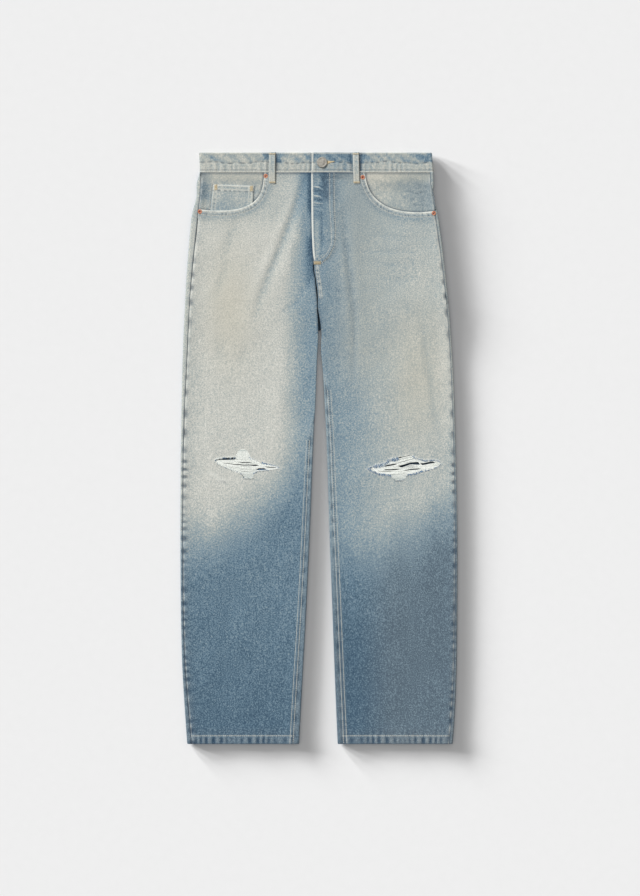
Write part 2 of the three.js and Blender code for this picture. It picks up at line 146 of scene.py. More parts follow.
def bezier(corners, t):
    """Points of the cubic curve with the four corners at the shares t."""
    a, b, c, d = np.asarray(corners, float)
    t = np.asarray(t, float)[:, None]
    return a * (1 - t) ** 3 + 3 * b * t * (1 - t) ** 2 + 3 * c * t**2 * (1 - t) + d * t**3


def near(x, y, path, within):
    """Distance from each point to the path and length along the path there; far points get 1e3 and 0."""
    path = np.asarray(path, float)
    gap = np.full(x.shape, 1e3)
    along = np.zeros(x.shape)
    low, high = path.min(axis=0) - within, path.max(axis=0) + within
    close = (x > low[0]) & (x < high[0]) & (y > low[1]) & (y < high[1])
    px, py = x[close], y[close]
    best, where = np.full(px.shape, 1e3), np.zeros(px.shape)
    start = 0.0
    for (ax, ay), (bx, by) in zip(path[:-1], path[1:]):
        dx, dy = bx - ax, by - ay
        length = math.hypot(dx, dy)
        share = np.clip(((px - ax) * dx + (py - ay) * dy) / length**2, 0, 1)
        away = np.hypot(px - ax - share * dx, py - ay - share * dy)
        nearer = away < best
        best = np.where(nearer, away, best)
        where = np.where(nearer, start + share * length, where)
        start += length
    gap[close], along[close] = best, where
    return gap, along


def ripple(along, pitch, seed):
    """A sine of the length along a seam whose pitch wanders by a third, from -1 to 1."""
    drift = 1.7 * np.sin(along / (pitch * 0.83) + seed) + 1.6 * np.sin(along / (pitch * 2.3) + 2 * seed)
    size = 0.62 + 0.38 * np.sin(along / (pitch * 1.13) + 3 * seed)
    return size * np.sin(2 * np.pi * along / pitch + drift)


def rolling(x, y, size, seed, waves=16):
    """Sum of sines in seeded directions with lengths round the size, scaled to about -1 to 1."""
    rng = np.random.default_rng(seed)
    total = np.zeros(np.shape(x))
    for _ in range(waves):
        angle, phase = rng.uniform(0, 2 * np.pi, 2)
        length = size * rng.uniform(0.7, 1.6)
        total += np.sin(2 * np.pi * (x * math.cos(angle) + y * math.sin(angle)) / length + phase)
    return total / math.sqrt(waves)


def run_of(path):
    """Length along a path from its start to each of its points."""
    return np.concatenate([[0], np.cumsum(np.linalg.norm(np.diff(path, axis=0), axis=1))])


def spaced(path, pitch):
    """Points on a path at equal steps of about the pitch."""
    path = np.asarray(path, float)
    run = run_of(path)
    stops = np.linspace(0, run[-1], max(int(run[-1] / pitch), 1) + 1)
    return np.stack([np.interp(stops, run, path[:, i]) for i in range(path.shape[1])], axis=1)


def beside(path, distance):
    """The path moved sideways, to its left for a distance above 0."""
    path = np.asarray(path, float)
    step = np.gradient(path, axis=0)
    step /= np.linalg.norm(step, axis=1, keepdims=True)
    return path + distance * np.stack([-step[:, 1], step[:, 0]], axis=1)


print("ripple over 30 mm:", np.round(ripple(np.arange(0, 30, 6.0), 9, 1), 2))

# %% [markdown]
# ## Outline from the part
# A level slice through a CAD panel gives the x of its outer or inner edge. Slices at the heights where
# the panels have points give back the curves that a pattern cutter would draw.
#
# At the crotch the two legs press together. Each leg ends in a fold there, and the inseam lies under it
# and comes out on the front only lower down. The fork is the pair of curves on which the two folds lie.
# Its left curve goes on up the fly as the edge of the lap.


# %% Read the outline
HEIGHTS = np.array(
    [530.9, 513, 496, 475, 455, 420, 385, 350, 320, 290, 265, 240, 212.5, 211.5, 175, 130, 80, 30, -20]
    + [-70, -120, -180, -250, -320, -390, -455, -500, -530.9]
)


def edge_of(names, way, low=-600.0, high=600.0):
    """Curve x(y) of the outermost point of the nodes towards +x (way 1) or -x (way -1)."""
    ends = []
    for name in names:
        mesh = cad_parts[name].data
        points = np.empty(len(mesh.vertices) * 3)
        mesh.vertices.foreach_get("co", points)
        pairs = np.empty(len(mesh.edges) * 2, int)
        mesh.edges.foreach_get("vertices", pairs)
        ends.append(points.reshape(-1, 3)[pairs.reshape(-1, 2)] / MM)
    ends = np.concatenate(ends)
    found, levels = [], []
    for level in HEIGHTS[(HEIGHTS > low) & (HEIGHTS < high)]:
        y0, y1 = ends[:, 0, 1], ends[:, 1, 1]
        crossing = (np.minimum(y0, y1) <= level) & (np.maximum(y0, y1) >= level) & (y0 != y1)
        if not crossing.any():
            continue
        share = (level - y0[crossing]) / (y1[crossing] - y0[crossing])
        x = mix(ends[crossing, 0, 0], ends[crossing, 1, 0], share)
        found.append(way * np.max(way * x))
        levels.append(level)
    return through(levels, found)


def leg_of(name, side, scoop):
    """The outline curves of one leg: outer fold, inner fold, outseam and inner edge of the front."""
    back = [f"back_{name}", f"yoke_{name}", "waistband"]
    return SimpleNamespace(
        name=name,
        side=side,
        scoop=np.array(scoop, float),
        outer=edge_of(back, side),
        inner=edge_of([f"back_{name}"], -side, high=LEGS_PART),
        out=edge_of([f"front_{name}", f"pocket_facing_{name}"], side),
        inn=edge_of([f"front_{name}"], -side),
    )


right = leg_of("right", -1, [(-98, 495), (-98, 440), (-125, 418), (-214.5, 427.5)])
left = leg_of("left", 1, [(82, 495), (86, 440), (130, 415), (206.4, 424.4)])
LEGS = [right, left]

INSEAM_SHOWS = {"right": 14.0, "left": 104.0}  # the inseam shows on the front below this height
FORK_FOOT = 210.0  # the back panels meet, 0.6 mm apart, above this and fold over their own edges below
FORK_HEIGHTS = [496, 450, 400, 370, 352, 343, 337, 326, 316, 306, 295, 285, 275, 265, 254, 244, 234, 223]
FORK_HEIGHTS += [213, 208, 190, 160]
FORK = {  # x of the inner edge of each leg at the heights above
    "right": [-8, -8, -8, -8, -8.4, -11.2, -11.4, -10.9, -9.9, -7.8, -6.8, -5.8, -4.7, -4.0, -3.5, -3.5, -2.5]
    + [-2.1, -1.8, -1.8, -1.9, -2.6],
    "left": [-13.5, -13.3, -12.7, -11.7, -10.6, -9.6, -8.5, -8.3, -7.8, -5.6, -4.2, -2.7, -1.8, -1.6, -1.6]
    + [-0.3, 1.5, 3.2, 4.1, 4.8, 5.3, 6.6],
}
lap_edge = through(FORK_HEIGHTS, FORK["left"])


def part_legs(leg):
    """Lays the inner edges of a leg along the fork, with its front panel over the fold above the seam."""
    fold, cad_inner, cad_front = through(FORK_HEIGHTS, FORK[leg.name]), leg.inner, leg.inn
    shows = INSEAM_SHOWS[leg.name]
    under = (343, 352) if leg.side < 0 else (700, 800)

    def inner(y):
        return mix(cad_inner(y), fold(y), smooth(y, 165, 205))

    def hides(y):
        return smooth(y, shows, shows + 60)

    def front(y):
        return mix(cad_front(y), inner(y) + leg.side * 0.8, hides(y) * (1 - smooth(y, *under)))

    leg.inner, leg.inn, leg.hides = inner, front, hides


for leg in LEGS:
    part_legs(leg)
    print(leg.name, "hem from", round(float(leg.outer(HEM))), "to", round(float(leg.inner(HEM))), "mm")

# %% [markdown]
# ## The torn knees
# Each rip is a slit across the grain that has opened like an eye. Washing has pulled the blue warp
# yarns out of the edges and left the white weft yarns across the hole. The upper and lower edges are
# two curves from tip to tip, with small tabs where more of the warp has gone.

# %% Edges of the rips
RIPS = {
    "right": SimpleNamespace(
        level=-31.0,
        upper=[(-187, -23), (-183, -19), (-169, -17.6), (-151, -16.8), (-124, -17.8), (-111, -24)]
        + [(-99, -27.6), (-84, -31.4), (-70, -35.6)],
        lower=[(-187, -23), (-182, -28.6), (-164, -36.4), (-151, -41.6), (-138, -47), (-136, -53.6)]
        + [(-119.5, -53.8), (-117, -44.5), (-108, -40.4), (-90, -39.4), (-70, -35.6)],
    ),
    "left": SimpleNamespace(
        level=-34.0,
        upper=[(88, -38), (102, -31), (118, -27.6), (126, -21), (145, -17), (165, -12.4), (176, -19)]
        + [(189, -22.6), (201, -21.8), (214, -22.8), (220, -27)],
        lower=[(88, -38), (94, -42), (106, -47.2), (128, -49.8), (134, -53), (137, -57.6), (148, -57.2)]
        + [(157, -53.4), (159, -47.6), (168, -47.6), (179, -44.6), (191, -40.8), (205, -37.4)]
        + [(215, -33), (220, -27)],
    ),
}


def rip_edge(leg, x, which, ragged=True):
    """y of the upper or lower edge of the leg's rip at x, with a seeded jitter of about 1 mm."""
    table = np.array(getattr(RIPS[leg.name], which))
    y = np.interp(x, table[:, 0], table[:, 1])
    if ragged:
        inside = smooth(x, table[0, 0], table[0, 0] + 12) * smooth(-x, -table[-1, 0], 12 - table[-1, 0])
        wobble = np.sin(x * 1.9) + np.sin(x * 3.1 + 2) + 0.8 * np.sin(x * 0.83 + len(which))
        y = y + 0.5 * wobble * inside
    return y


def past_tips(leg, x):
    """How far x is past the nearer tip of the leg's rip, and 0 between the tips."""
    table = np.array(RIPS[leg.name].upper)
    return np.maximum(np.maximum(table[0, 0] - x, x - table[-1, 0]), 0)


def open_slit(leg, x, y, upper):
    """Moves cloth away from the slit: y + (edge - level) * exp(-distance / 26), fading past the tips."""
    rip = RIPS[leg.name]
    shift = (rip_edge(leg, x, "upper" if upper else "lower") - rip.level) * bell(past_tips(leg, x), 14)
    return y + shift * np.exp(-np.abs(y - rip.level) / 26)


for leg in LEGS:
    table = np.array(RIPS[leg.name].upper)
    print("rip", leg.name, round(float(table[-1, 0] - table[0, 0])), "mm wide")

# %% [markdown]
# ## Heights of the cloth
# The front cloth is a height field over the floor, so a stitch or rivet can be set on it anywhere. The
# height is the sum of the stack of layers, the rise at the folded sides, the listed folds of the
# thighs, the grooves and puckers of the seams, and a slow unevenness.


# %% Seams of the front
def seam(path, groove=0.35, width=1.3, pucker=0.2, pitch=8.0, reach=5.0, worn=0.2, dye_and_shade=0.2, seed=1.0):
    """One sewn line: its path, the depth of its groove, and the size and reach of its puckers."""
    return SimpleNamespace(
        path=np.asarray(path, float),
        groove=groove,
        width=width,
        pucker=pucker,
        pitch=pitch,
        reach=reach,
        worn=worn,
        dye_and_shade=dye_and_shade,
        seed=seed,
    )


def edge_path(curve, top, bottom, inset=0.0, step=15.0):
    """Points down a curve x(y), moved sideways by the inset."""
    y = np.linspace(top, bottom, int(abs(top - bottom) / step) + 2)
    return np.stack([curve(y) + inset, y], axis=1)


FLY_STITCH = [
    [(19.0, 494), (19.6, 430), (22.4, 388), (22.6, 366), (14.4, 350), (4.5, 341), (-1, 338)],
    [(27.0, 494), (27.6, 430), (30.4, 388), (28.0, 364), (17.4, 343), (6.0, 333), (1, 330)],
]
SCOOP_ROWS = (1.8, 7.6)  # distance of the two rows of stitches from a pocket's mouth
INSEAM_ROWS = (2.0, 7.6)
HEM_ROW = 13.5


def scoop_path(leg, inset=0.0, count=40):
    """The pocket mouth from the waist to the side, moved into the front panel by the inset."""
    path = bezier(leg.scoop, np.linspace(0, 1, count))
    return beside(path, -leg.side * inset)


def hem_path(leg, up):
    """A level line across the leg above the hem."""
    y = HEM + up
    x = np.linspace(float(leg.inn(y)), float(leg.out(y)), 30)
    return np.stack([x, np.full(30, y)], axis=1)


def front_seams(leg):
    """Every sewn line that shapes a front panel."""
    inseam = edge_path(leg.inn, INSEAM_SHOWS[leg.name] + 30, HEM)
    pitch, reach = (17.0, 8.0) if leg.side < 0 else (19.0, 5.0)
    rows = [
        seam(edge_path(leg.out, 30, HEM), 0.6, 1.6, 0.5, pitch, reach, 0.12, 1.3, 1.3),
        seam(edge_path(leg.out, 427, 28), 0.6, 1.6, 0.4, 1.7 * pitch, 0.75 * reach, 0.15, 0.8, 1.1),
        seam(inseam, 0.5, 1.6, 0.3, 31.0, 6.0, 0.1, 0.6, 2.1),
        seam(hem_path(leg, HEM_ROW), 0.4, 1.2, 0.0, 9.5, 1.8, 0.28, 0.0, 0.7),
        seam(hem_path(leg, 5.5), 0.0, 2.0, 0.5, 11.5, 6.5, 0.2, 1.5, 0.9),
        seam(hem_path(leg, 20), 0.0, 2.0, 0.25, 8.5, 6.0, 0.04, 0.4, 0.4),
        seam(scoop_path(leg, 0.2), 0.0, 1.5, 0.1, 41.0, 1.6, 1.5, 0.0, 3.0),
        seam(scoop_path(leg, 4.6), -0.25, 4.0, 0.25, 6.5, 4.0, 0.22, 0.55, 3.4),
    ]
    for inset in SCOOP_ROWS:
        rows.append(seam(scoop_path(leg, inset), 0.4, 1.1, 0.1, 8.0, 1.5, 0.45, 0.35, inset))
    shows = INSEAM_SHOWS[leg.name]
    for inset in INSEAM_ROWS:
        path = edge_path(leg.inn, shows, HEM, leg.side * inset)
        rows.append(seam(path, 0.3, 1.1, 0.1, 13.0, 1.5, 0.1 if leg.side < 0 else 0.22, 0.3, inset))
    if leg.side > 0:
        rows.append(seam(edge_path(leg.inn, 326, 270, 4.0), -0.3, 3.0, 0.3, 9.0, 3.2, 0.7, 0.7, 4.0))
        rows += [seam(spaced(path, 9), 0.35, 1.2, 0.15, 7.0, 2.6, 0.2, 0.4, 2.0) for path in FLY_STITCH]
    return rows


for leg in LEGS:
    leg.seams = front_seams(leg)
print("seams on a front panel:", [len(leg.seams) for leg in LEGS])

# %% [markdown]
# ## Folds
# Cloth that was worn and then smoothed flat keeps a few soft folds: long ones down the thigh that run
# from the fly towards the knee, short ones that fan out from the crotch, and the shallow wrinkles of
# the fly. Each is a line with a height, which is below 0 for a trough, a reach, and a change of fade
# along it: above 0 where wear whitened a ridge, below 0 where a trough is darkened with painted shade.

# %% Folds
FOLDS = {
    "right": [
        ([(-25, 488), (-46, 422), (-76, 344), (-106, 272), (-116, 234)], -1.5, 7, -0.22),
        ([(-34, 484), (-60, 416), (-92, 336), (-120, 276)], 0.9, 9, 0.08),
        ([(-17, 484), (-30, 420), (-54, 344), (-74, 284)], 0.9, 9, 0.1),
        ([(-150, 404), (-172, 345)], -0.5, 9, -0.12),
        ([(-166, 330), (-186, 276)], -0.5, 8, -0.1),
        ([(-176, 196), (-184, 158)], -0.5, 10, -0.1),
        ([(-134, 184), (-142, 148)], -0.4, 8, -0.08),
        ([(-14, 300), (-40, 262), (-78, 236)], -0.5, 7, -0.05),
        ([(-60, 200), (-74, 90), (-84, -5)], 0.6, 16, 0.03),
        ([(-52, -90), (-64, -130)], -0.4, 9, -0.08),
        ([(-40, -90), (-60, -220), (-70, -380)], 0.5, 16, 0.02),
        ([(-150, -120), (-160, -260), (-172, -430)], -0.5, 16, -0.02),
        ([(-205, 60), (-190, -10), (-200, -90)], 0.4, 12, 0.03),
        ([(-190, -110), (-196, -150)], 0.4, 10, 0.06),
    ],
    "left": [
        ([(43, 424), (50, 356), (58, 296), (65, 224), (62, 120)], -1.4, 6, -0.13),
        ([(33, 440), (37, 380), (46, 290), (52, 220)], 0.7, 7, 0.06),
        ([(60, 420), (65, 350), (74, 280)], 0.6, 9, 0.05),
        ([(182, 250), (200, 117), (212, 27)], -0.6, 7, -0.11),
        ([(84, 356), (125, 352), (165, 356)], -0.25, 4, -0.06),
        ([(90, 334), (130, 329), (172, 332)], -0.25, 4, -0.06),
        ([(95, 309), (140, 303), (180, 306)], -0.25, 4, -0.06),
        ([(100, 384), (150, 379)], -0.25, 4, -0.06),
        ([(20, 286), (60, 282), (100, 286)], -0.25, 4, -0.05),
        ([(150, 266), (166, 244)], -0.4, 9, -0.1),
        ([(6, 300), (30, 266), (62, 244)], -0.4, 7, -0.03),
        ([(60, -100), (66, -240), (84, -400)], 0.5, 16, 0.02),
        ([(150, -110), (160, -250), (176, -420)], -0.5, 16, -0.02),
        ([(92, 480), (108, 446), (132, 432)], -0.3, 6, -0.1),
        ([(-11, 470), (0, 468), (9, 463)], 0.7, 1.4, 0.75),
        ([(-11, 453.5), (0, 452), (6, 449)], 0.7, 1.4, 0.8),
        ([(-10, 441), (-1, 440), (6, 439)], 0.6, 1.3, 0.7),
        ([(-9, 447), (6, 444)], -0.6, 1.8, -0.25),
        ([(-8, 458.5), (2, 457)], 0.5, 1.1, 0.4),
        ([(-9, 436), (4, 434.5)], 0.4, 1.1, 0.35),
        ([(-7, 430), (7, 428)], 0.3, 1.8, 0.3),
        ([(-9, 461), (8, 456)], -0.8, 3.0, -0.25),
        ([(6, 486), (14, 474), (9, 462)], -0.8, 3.0, -0.3),
        ([(12, 462), (16, 440)], -0.5, 3.0, -0.15),
        ([(5, 424), (5.4, 385), (4.6, 347)], -0.5, 2.2, -0.24),
    ],
}

# Thin lines of painted shade: under the torn tabs and under the rubbed streak.
SHADE_LINES = {
    "right": [[(-135, -55.4), (-118.5, -55.6)], [(-181, -61.4), (-168, -62)]],
    "left": [[(137, -59.6), (151, -59.2)]],
}


def front_base(y):
    """Height of the front cloth's middle: legs, then hips, and a little more at the hem."""
    rise = mix(LEG_HEIGHT, HIP_HEIGHT, smooth(y, 150, 275))
    return rise + HEM_RISE * (1 - smooth(y, HEM + 4, HEM + 42))


def side_height(y):
    """Height of the front cloth's middle at the folded sides, where the back panel meets it."""
    return front_base(y) + EDGE_RISE


def fly_rise(x, y):
    """The wearer's left front laps over the right and lies on the fly facing as far as the J stitch."""
    path = np.array(FLY_STITCH[1])[::-1]
    edge = np.interp(y, path[:, 1], path[:, 0])
    return 1.9 * (1 - smooth(x - edge, -3, 8)) * smooth(y, 322, 348)


def front_cloth(leg, x, y):
    """Height of the front cloth's middle, how worn, how dark with dye and painted shade, and the fade of its
    folds.
    """
    x, y = np.asarray(x, float), np.asarray(y, float)
    to_side = leg.side * (leg.out(y) - x)
    to_middle = leg.side * (x - leg.inn(y))
    legs_only = 1 - smooth(y, 235, 300)
    z = front_base(y) + EDGE_RISE * (bell(to_side, 13) + legs_only * bell(to_middle, 13))
    mouth, _ = near(x, y, scoop_path(leg), 45)
    z = z + 0.9 * bell(mouth, 16)
    z = z + 0.32 * rolling(x, y, 95, 5) + 0.1 * rolling(x, y, 26, 6) + 0.05 * rolling(x, y, 11, 7)
    worn, dye_and_shade, wear_and_shade = np.zeros(x.shape), np.zeros(x.shape), np.zeros(x.shape)
    # Along a fold the fade changes: lighter on a worn ridge, darker in a trough, which is painted shade.
    for path, height, reach, fade in FOLDS[leg.name]:
        gap, along = near(x, y, path, 3 * reach)
        length = sum(math.dist(a, b) for a, b in zip(path[:-1], path[1:]))
        taper = np.sin(np.pi * np.clip((along + 0.15 * length) / (1.3 * length), 0, 1))
        z = z + height * taper * bell(gap, reach)
        wear_and_shade = wear_and_shade + fade * taper * bell(gap, reach)
    for row in leg.seams:
        gap, along = near(x, y, row.path, 3 * row.reach)
        wave = ripple(along, row.pitch, row.seed)
        spread = bell(gap, row.reach)
        z = z - row.groove * bell(gap, row.width) + row.pucker * wave * spread
        worn = worn + row.worn * (0.45 + 0.55 * wave) * spread
        # The troughs of the puckers are darker: partly dye that the wash missed, partly painted shade.
        dye_and_shade = dye_and_shade + row.dye_and_shade * np.clip(0.15 - wave, 0, 1) * bell(gap, row.reach * 0.8)
    edge = bell(to_side - 0.4, 0.9) * (1 - smooth(y, 424, 430))
    worn = worn + edge * (mix(0.32, 0.62, smooth(y, -120, 0)) + 0.3 * ripple(y, 27, 2.0))
    # Painted shade lines under the torn tabs and the rubbed streak.
    for path in SHADE_LINES[leg.name]:
        gap, _ = near(x, y, path, 8)
        dye_and_shade = dye_and_shade + 0.8 * bell(gap, 1.1)
    # Painted shade just under the lower edge of each rip.
    rim = rip_edge(leg, x, "lower") - y
    inside = smooth(x, RIPS[leg.name].lower[0][0], RIPS[leg.name].lower[0][0] + 6)
    inside = inside * (1 - smooth(x, RIPS[leg.name].lower[-1][0] - 6, RIPS[leg.name].lower[-1][0]))
    dye_and_shade = dye_and_shade + 0.75 * bell(rim - 1.2, 1.2) * inside * np.clip(0.25 + ripple(x, 6, 3.0), 0, 1)
    # Painted shade on the panel along the pocket mouth.
    wear_and_shade = wear_and_shade - 0.2 * bell(mouth - 8, 8)
    # Painted shade down the inner edges, where the legs press together at the fork.
    fork_shade = smooth(y, 200, 215) * (1 - smooth(y, 337, 347))
    dye_and_shade = dye_and_shade + 0.45 * bell(to_middle, 2.4) * fork_shade
    if leg.side > 0:
        lap = bell(to_middle - 0.4, 1.3) * smooth(y, 333, 341)
        z = z + fly_rise(x, y)
        worn, dye_and_shade = worn + 1.3 * lap, dye_and_shade * (1 - lap)
    else:
        shade = np.interp(y, [338, 352, 370, 440, 494], [0.5, 0.9, 0.8, 0.5, 0.25])
        dye_and_shade = dye_and_shade + shade * bell(x - lap_edge(y) + 1.2, 2.8) * smooth(y, 336, 346)
    # Painted shade under the lower edge of the waistband.
    dye_and_shade = dye_and_shade + 0.75 * bell(y - WAIST_SEAM + 1.5, 2.0)
    band = BAND_FRONT
    if leg.side > 0:
        band = mix(BAND_LAP, BAND_FRONT, smooth(x, 28, 64))
    z = mix(z, band, smooth(y, 480, 494))
    return z, worn, np.minimum(dye_and_shade, 0.85), wear_and_shade


for leg in LEGS:
    z = front_cloth(leg, np.array([leg.side * 120.0]), np.array([100.0]))[0]
    print("thigh", leg.name, "is", round(float(z[0]), 2), "mm up")

# %% [markdown]
# ## The wash and painted shade
# The jeans were dyed with indigo, then sanded and bleached by hand. The sander went over the thighs and
# stopped in a soft slanting line under the knees. It missed the fly and the inner thighs, which stay
# blue. Four numbers at each point say how it looks: how faded it is, how sandy, how far it is worn
# white, and how dark it is made: partly dye kept in the troughs of the seams, partly painted shade in
# folds and creases, under edges, beside the fly, in the fork and under the rips.
#
# The fade comes from a few profiles: one across each thigh, one for the height at which the sanding ends
# and one down the shin. Soft blue spots mark what the sander missed. On the wearer's right the darker
# strips beside the lap of the fly are painted shade.


# %% Wash of the front
def front_wash_and_shade(leg, x, y):
    """Fade and sand of the front: a profile across the thigh, ended by a soft slanting line at the knee."""
    if leg.side < 0:
        start = np.interp(y, [350, 430], [12, 10])
        end = np.interp(y, [0, 350, 430], [84, 76, 50])
        thigh = mix(0.5, 0.98, smooth(-x, start, end)) - 0.12 * smooth(y, 380, 440)
        thigh = thigh - 0.07 * smooth(-x, 195, 245)
        knee_x = [-250, -214, -187, -151, -115, -79, -52, -30]
        knee = np.interp(x, knee_x, [-186, -182, -176, -155, -130, -97, -76, -66])
        lower = np.interp(y, [-520, -440, -330, -230], [0.05, 0.12, 0.2, 0.26])
        patch = smooth(y, knee - 68, knee + 96)
        sand = patch * (0.08 + 0.34 * bell(x + 160, 45) * bell(y - 250, 110)) * smooth(-x, 20, 80)
        # On this leg the darker strips beside the lap of the fly are painted shade.
        blue = 0.34 * bell(x + 15, 9) * smooth(y, 280, 320) * (1 - smooth(y, 372, 395))
        blue = blue + 0.22 * bell(x + 16, 6) * smooth(y, 335, 350) * (1 - smooth(y, 366, 384))
        blue = blue + 0.55 * bell(x + 16, 5) * smooth(y, 410, 438)
        blue = blue + 0.1 * bell(x + 31, 9) * smooth(y, 372, 395)
    else:
        thigh_x = [-14, 15, 30, 46, 73, 109, 145, 181, 226, 245]
        thigh = np.interp(x, thigh_x, [0.46, 0.47, 0.5, 0.54, 0.62, 0.74, 0.81, 0.85, 0.84, 0.72])
        thigh = thigh - 0.05 * smooth(y, 330, 420) * smooth(x, 30, 70) + 0.02 * bell(y - 120, 130)
        knee = np.interp(x, [30, 73, 109, 145, 181, 208, 240], [-190, -198, -186, -160, -154, -128, -122])
        lower_y = [-531, -480, -400, -327, -273, -228, -180]
        lower = np.interp(y, lower_y, [-0.12, -0.07, -0.03, 0.06, 0.17, 0.21, 0.26])
        lower = lower - 0.06 * smooth(x, 80, 150) - 0.08 * smooth(x, 160, 215)
        patch = smooth(y, knee - 76, knee + 76)
        sand = patch * (0.06 * smooth(x, 50, 120) + 0.3 * bell(x - 178, 50) * bell(y - 130, 120))
        sand = sand + 0.2 * patch * bell(x - 68, 42) * smooth(y, 60, 180)
        sand = sand + 0.08 * (1 - patch) * smooth(x, 60, 140)
        thigh = thigh + 0.1 * smooth(x, 200, 228) * bell(y - 160, 120)
        blue = 0.46 * bell(x - 14, 12) * smooth(y, 436, 460) - 0.24 * bell(x + 1, 5) * bell(y - 480, 8)
        blue = blue + 0.27 * bell(x - 1, 9) * smooth(y, 426, 438) * (1 - smooth(y, 466, 476))
        blue = blue + 0.12 * bell(x - 1, 10) * smooth(y, 405, 418) * (1 - smooth(y, 430, 440))
        blue = blue - 0.24 * bell(x + 4, 5) * smooth(y, 335, 345) * (1 - smooth(y, 400, 420))
    fade = mix(lower, thigh, patch) - blue
    return fade, sand


SCUFF = [(-197, -44.5), (-186, -50), (-179, -57), (-170, -59.5)]  # a rubbed streak under the right rip


def worn_at_rips(leg, x, y):
    """White wear on the cloth right at the edges of a rip."""
    outside = np.maximum(y - rip_edge(leg, x, "upper", False), rip_edge(leg, x, "lower", False) - y)
    edge = bell(np.maximum(outside, 0), 2.2) * bell(past_tips(leg, x), 4)
    scuff, along = near(x, y, SCUFF, 12)
    return 0.5 * edge + 0.65 * bell(scuff, 3.4) * np.clip(0.75 + 0.4 * ripple(along, 9, 1.0), 0, 1)


def wash_back(x, y):
    """Fade and sand of the hidden side: a worn seat and calves, and blue round the edges."""
    seat = bell(np.abs(x + 5) - 110, 70) * bell(y - 330, 120)
    thigh = bell(np.abs(x + 3) - 130, 70) * smooth(y, -160, -60)
    return 0.25 + 0.35 * np.maximum(seat, 0.8 * thigh), 0.15 * seat


print("fade on the thigh:", np.round(front_wash_and_shade(right, np.array([-150.0]), np.array([200.0]))[0], 2))

# %% [markdown]
# ## Materials
# Denim is a blue warp over a white weft, so its colour is never even: each point mixes two yarns, with
# long slubs along the warp. The shader adds that heather to the fade, then looks up the colour on a
# ramp from deep indigo to bone. A twill bump gives the diagonal rib.


# %% Shader helpers
def colour(text):
    """A colour from its six hex digits, as linear light."""
    values = [int(text[i : i + 2], 16) / 255 for i in (0, 2, 4)]
    return [v / 12.92 if v <= 0.04045 else ((v + 0.055) / 1.055) ** 2.4 for v in values] + [1.0]


class Shader:
    """A material whose nodes are added one by one, each with its inputs by name or number."""

    def __init__(self, name, roughness, metallic=0.0):
        self.material = bpy.data.materials.new(name)
        self.material.use_nodes = True
        self.tree = self.material.node_tree
        self.surface = self.tree.nodes["Principled BSDF"]
        self.surface.inputs["Roughness"].default_value = roughness
        self.surface.inputs["Metallic"].default_value = metallic
        self.place = self.add("ShaderNodeTexCoord").outputs["Object"]

    def add(self, kind, inputs=None, **settings):
        """Adds a node of the kind, with its settings and its inputs."""
        node = self.tree.nodes.new(kind)
        for key, value in settings.items():
            setattr(node, key, value)
        for key, value in (inputs or {}).items():
            self.set(node.inputs[key], value)
        return node

    def set(self, socket, value):
        """Links another node's output to an input, or gives the input a plain value."""
        if isinstance(value, bpy.types.NodeSocket):
            self.tree.links.new(value, socket)
        else:
            socket.default_value = value

    def sum(self, operation, a, b, clamp=False):
        """One step of arithmetic on two values, kept between 0 and 1 if clamp is set."""
        node = self.add("ShaderNodeMath", {0: a, 1: b}, operation=operation, use_clamp=clamp)
        return node.outputs[0]

    def noise(self, scale, stretch=(1, 1, 1), detail=2.0, rough=0.5):
        """Noise over the object's own metres, stretched along the axes."""
        where = self.add("ShaderNodeMapping", {"Vector": self.place, "Scale": stretch})
        inputs = {"Vector": where.outputs[0], "Scale": scale, "Detail": detail, "Roughness": rough}
        return self.add("ShaderNodeTexNoise", inputs).outputs["Fac"]

    def spread(self, value, amount):
        """(value - 0.5) * amount"""
        return self.sum("MULTIPLY", self.sum("SUBTRACT", value, 0.5), amount)

    def blend(self, share, a, b):
        """The colour a at a share of 0 and b at 1."""
        node = self.add("ShaderNodeMix", {0: share}, data_type="RGBA")
        self.set(node.inputs[6], a)
        self.set(node.inputs[7], b)
        return node.outputs[2]

    def ramp(self, value, stops):
        """Looks a value up on a ramp of (place, colour) stops."""
        node = self.add("ShaderNodeValToRGB", {"Fac": value})
        band = node.color_ramp
        while len(band.elements) < len(stops):
            band.elements.new(0.5)
        for element, (at, text) in zip(band.elements, stops):
            element.position = at
            element.color = colour(text)
        return node.outputs["Color"]

    def bump(self, height, distance, strength=1.0, below=None):
        """A bump from a height, on top of the bump below."""
        inputs = {"Height": height, "Distance": distance, "Strength": strength}
        if below is not None:
            inputs["Normal"] = below
        return self.add("ShaderNodeBump", inputs).outputs[0]


